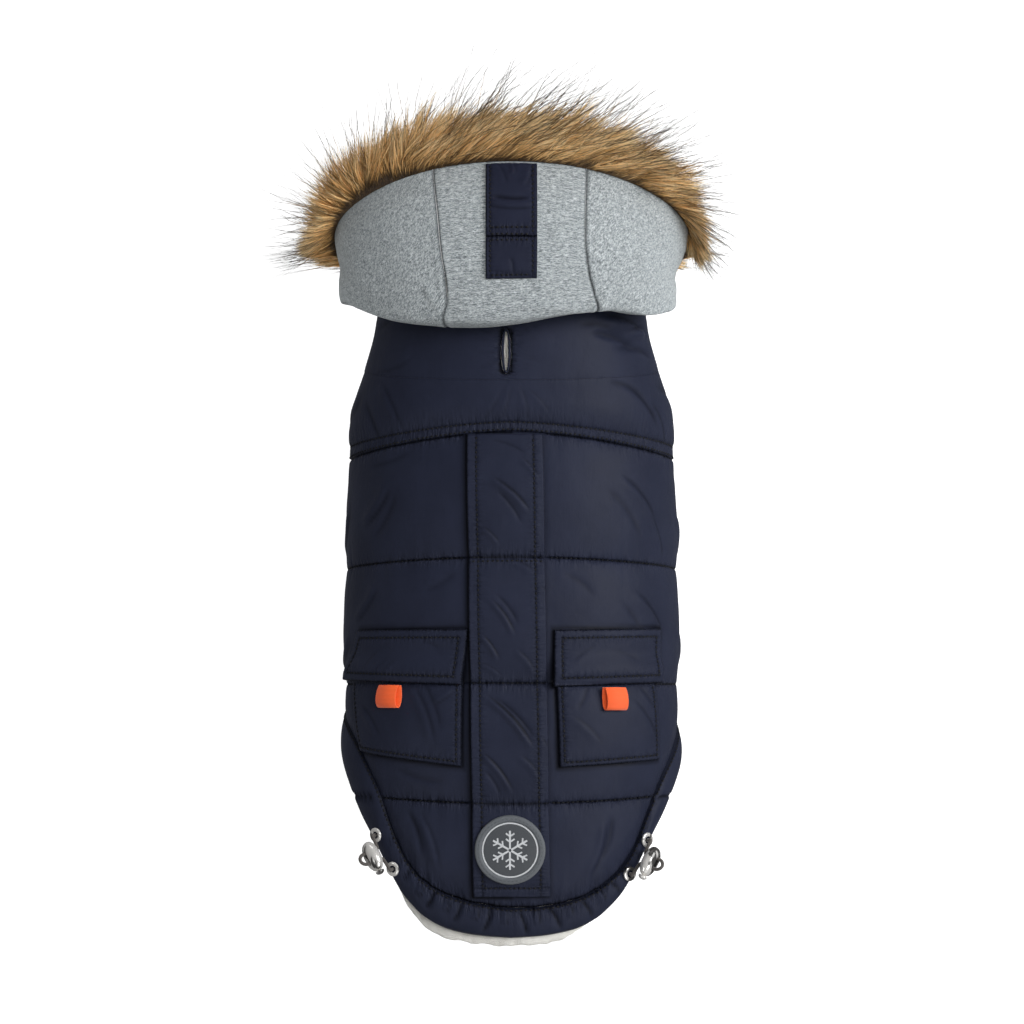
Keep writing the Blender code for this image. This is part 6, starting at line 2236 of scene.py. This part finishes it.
def make_cord(label, side):
    """The elastic cord, braided, from one eyelet through the lock and back to the other."""
    line = smooth_line(cord_route(side), 0.5)
    _, across, up = carry_frames(line, lock_frame(side)[1] + 0.01)
    turn = turns(16)
    run = np.arange(len(line)) * 0.5
    braid = 1.0 + 0.07 * np.sin(4 * turn + run[:, None] * 3.2) * np.sin(
        4 * turn - run[:, None] * 3.2)
    profile = np.stack([np.cos(turn) * braid, np.sin(turn) * braid], -1)
    obj = tube(f"elastic_{label}", sweep(line, across, up, profile))
    girth = np.tile(np.arange(len(turn)) * 0.39, len(line))
    point_attribute(obj.data, "cloth", flat(np.repeat(run, len(turn)), girth))
    finish_piece(obj, ELASTIC, "elastic_cord", f"cord_{label}")


# Camera, light and floor

PHOTO_TARGET = Vector((0.0003, -0.043, 0.0016))
PHOTO_ELEVATION = math.radians(84.4)
SENSOR_WIDTH = 36.0
LENS = SENSOR_WIDTH * 1667.0 / 1024.0
LIGHT_TARGET = Vector((0.0, -0.03, -0.03))
FLOOR_REACH, FLOOR_Z = 6000, -370


def make_stage():
    scene = bpy.context.scene
    away = Vector((0.0, -math.cos(PHOTO_ELEVATION), math.sin(PHOTO_ELEVATION)))
    data = bpy.data.cameras.new("photo_camera")
    data.sensor_width, data.lens = SENSOR_WIDTH, LENS
    camera = bpy.data.objects.new("photo_camera", data)
    camera.location = PHOTO_TARGET + away
    camera.rotation_euler = (-away).to_track_quat("-Z", "Y").to_euler()
    scene.collection.objects.link(camera)
    scene.camera = camera
    corners = [(x * FLOOR_REACH, y * FLOOR_REACH, FLOOR_Z)
               for x, y in ((-1, -1), (1, -1), (1, 1), (-1, 1))]
    floor = mesh_object("floor", corners, [(0, 1, 2, 3)])
    mat = new_material("floor_paper", Roughness=0.9, Specular_IOR_Level=0.1,
                       Emission_Color=colour(1, 1, 1), Emission_Strength=0.62)
    paper = noise_node(mat, space_place(mat), 0.02, 2.0)
    finish_shader(mat, Base_Color=ramp(mat, paper, ((0.0, colour(0.88, 0.88, 0.88)),
                                                    (1.0, colour(0.92, 0.92, 0.92)))))
    floor.data.materials.append(mat)
    floor.visible_glossy = False
    add_light("key", (1.15, 0.25, 1.0), 0.9, 19.0)
    add_light("overhead", (0.35, 0.1, 1.7), 1.0, 11.5, glossy=False)
    add_light("fill", (-1.2, -0.2, 0.7), 1.2, 1.2, glossy=False)
    add_light("tail", (0.4, -1.4, 0.7), 1.2, 1.9)
    add_light("face", (0.0, 1.4, 0.5), 1.2, 3.0)
    for side in (-1, 1):
        add_light(f"gloss_{side}", (side * 0.9, -0.9, 1.1), 0.7, 4.6 + 1.4 * side,
                  diffuse=False)
    make_world(0.14)
    scene.view_settings.view_transform = "Standard"


def make_world(strength):
    """White behind the part, and a dim even light on it."""
    world = bpy.data.worlds.new("studio")
    world.use_nodes = True
    tree = world.node_tree
    seen = tree.nodes.new("ShaderNodeLightPath").outputs["Is Camera Ray"]
    amount = tree.nodes.new("ShaderNodeMapRange")
    amount.inputs["To Min"].default_value = strength
    amount.inputs["To Max"].default_value = 1.0
    tree.links.new(seen, amount.inputs["Value"])
    background = tree.nodes["Background"]
    background.inputs["Color"].default_value = colour(1, 1, 1)
    tree.links.new(amount.outputs[0], background.inputs["Strength"])
    bpy.context.scene.world = world


def add_light(name, place, size, power, glossy=True, diffuse=True):
    data = bpy.data.lights.new(name, "AREA")
    data.shape = "DISK"
    data.size = size
    data.energy = power
    light = bpy.data.objects.new(name, data)
    light.location = place
    light.visible_glossy, light.visible_diffuse = glossy, diffuse
    aim = LIGHT_TARGET - light.location
    light.rotation_euler = aim.to_track_quat("-Z", "Y").to_euler()
    bpy.context.scene.collection.objects.link(light)


def main():
    make_stage()
    make_back()
    make_yoke()
    slot_cutter = make_collar()
    make_slot_binding()
    leg_cutters = make_chest()
    make_hem_band()
    lining_slot = stadium_cutter("lining_slot_cutter", SLOT["angle"], SLOT["along"],
                                 length=25.0, width=1.6, depth=30.0)
    make_lining([*leg_cutters, lining_slot])
    for cutter in (slot_cutter, lining_slot, *leg_cutters):
        bpy.data.objects.remove(cutter)
    make_placket()
    make_pockets()
    make_ribbon_loops()
    make_badge()
    make_hood()
    make_hood_straps()
    make_fur()
    make_hardware()
    make_threads("navy", "navy_stitching", THREAD, "navy_shell")
    make_threads("grey", "badge_stitching", RUBBER, "grey_rubber")


main()
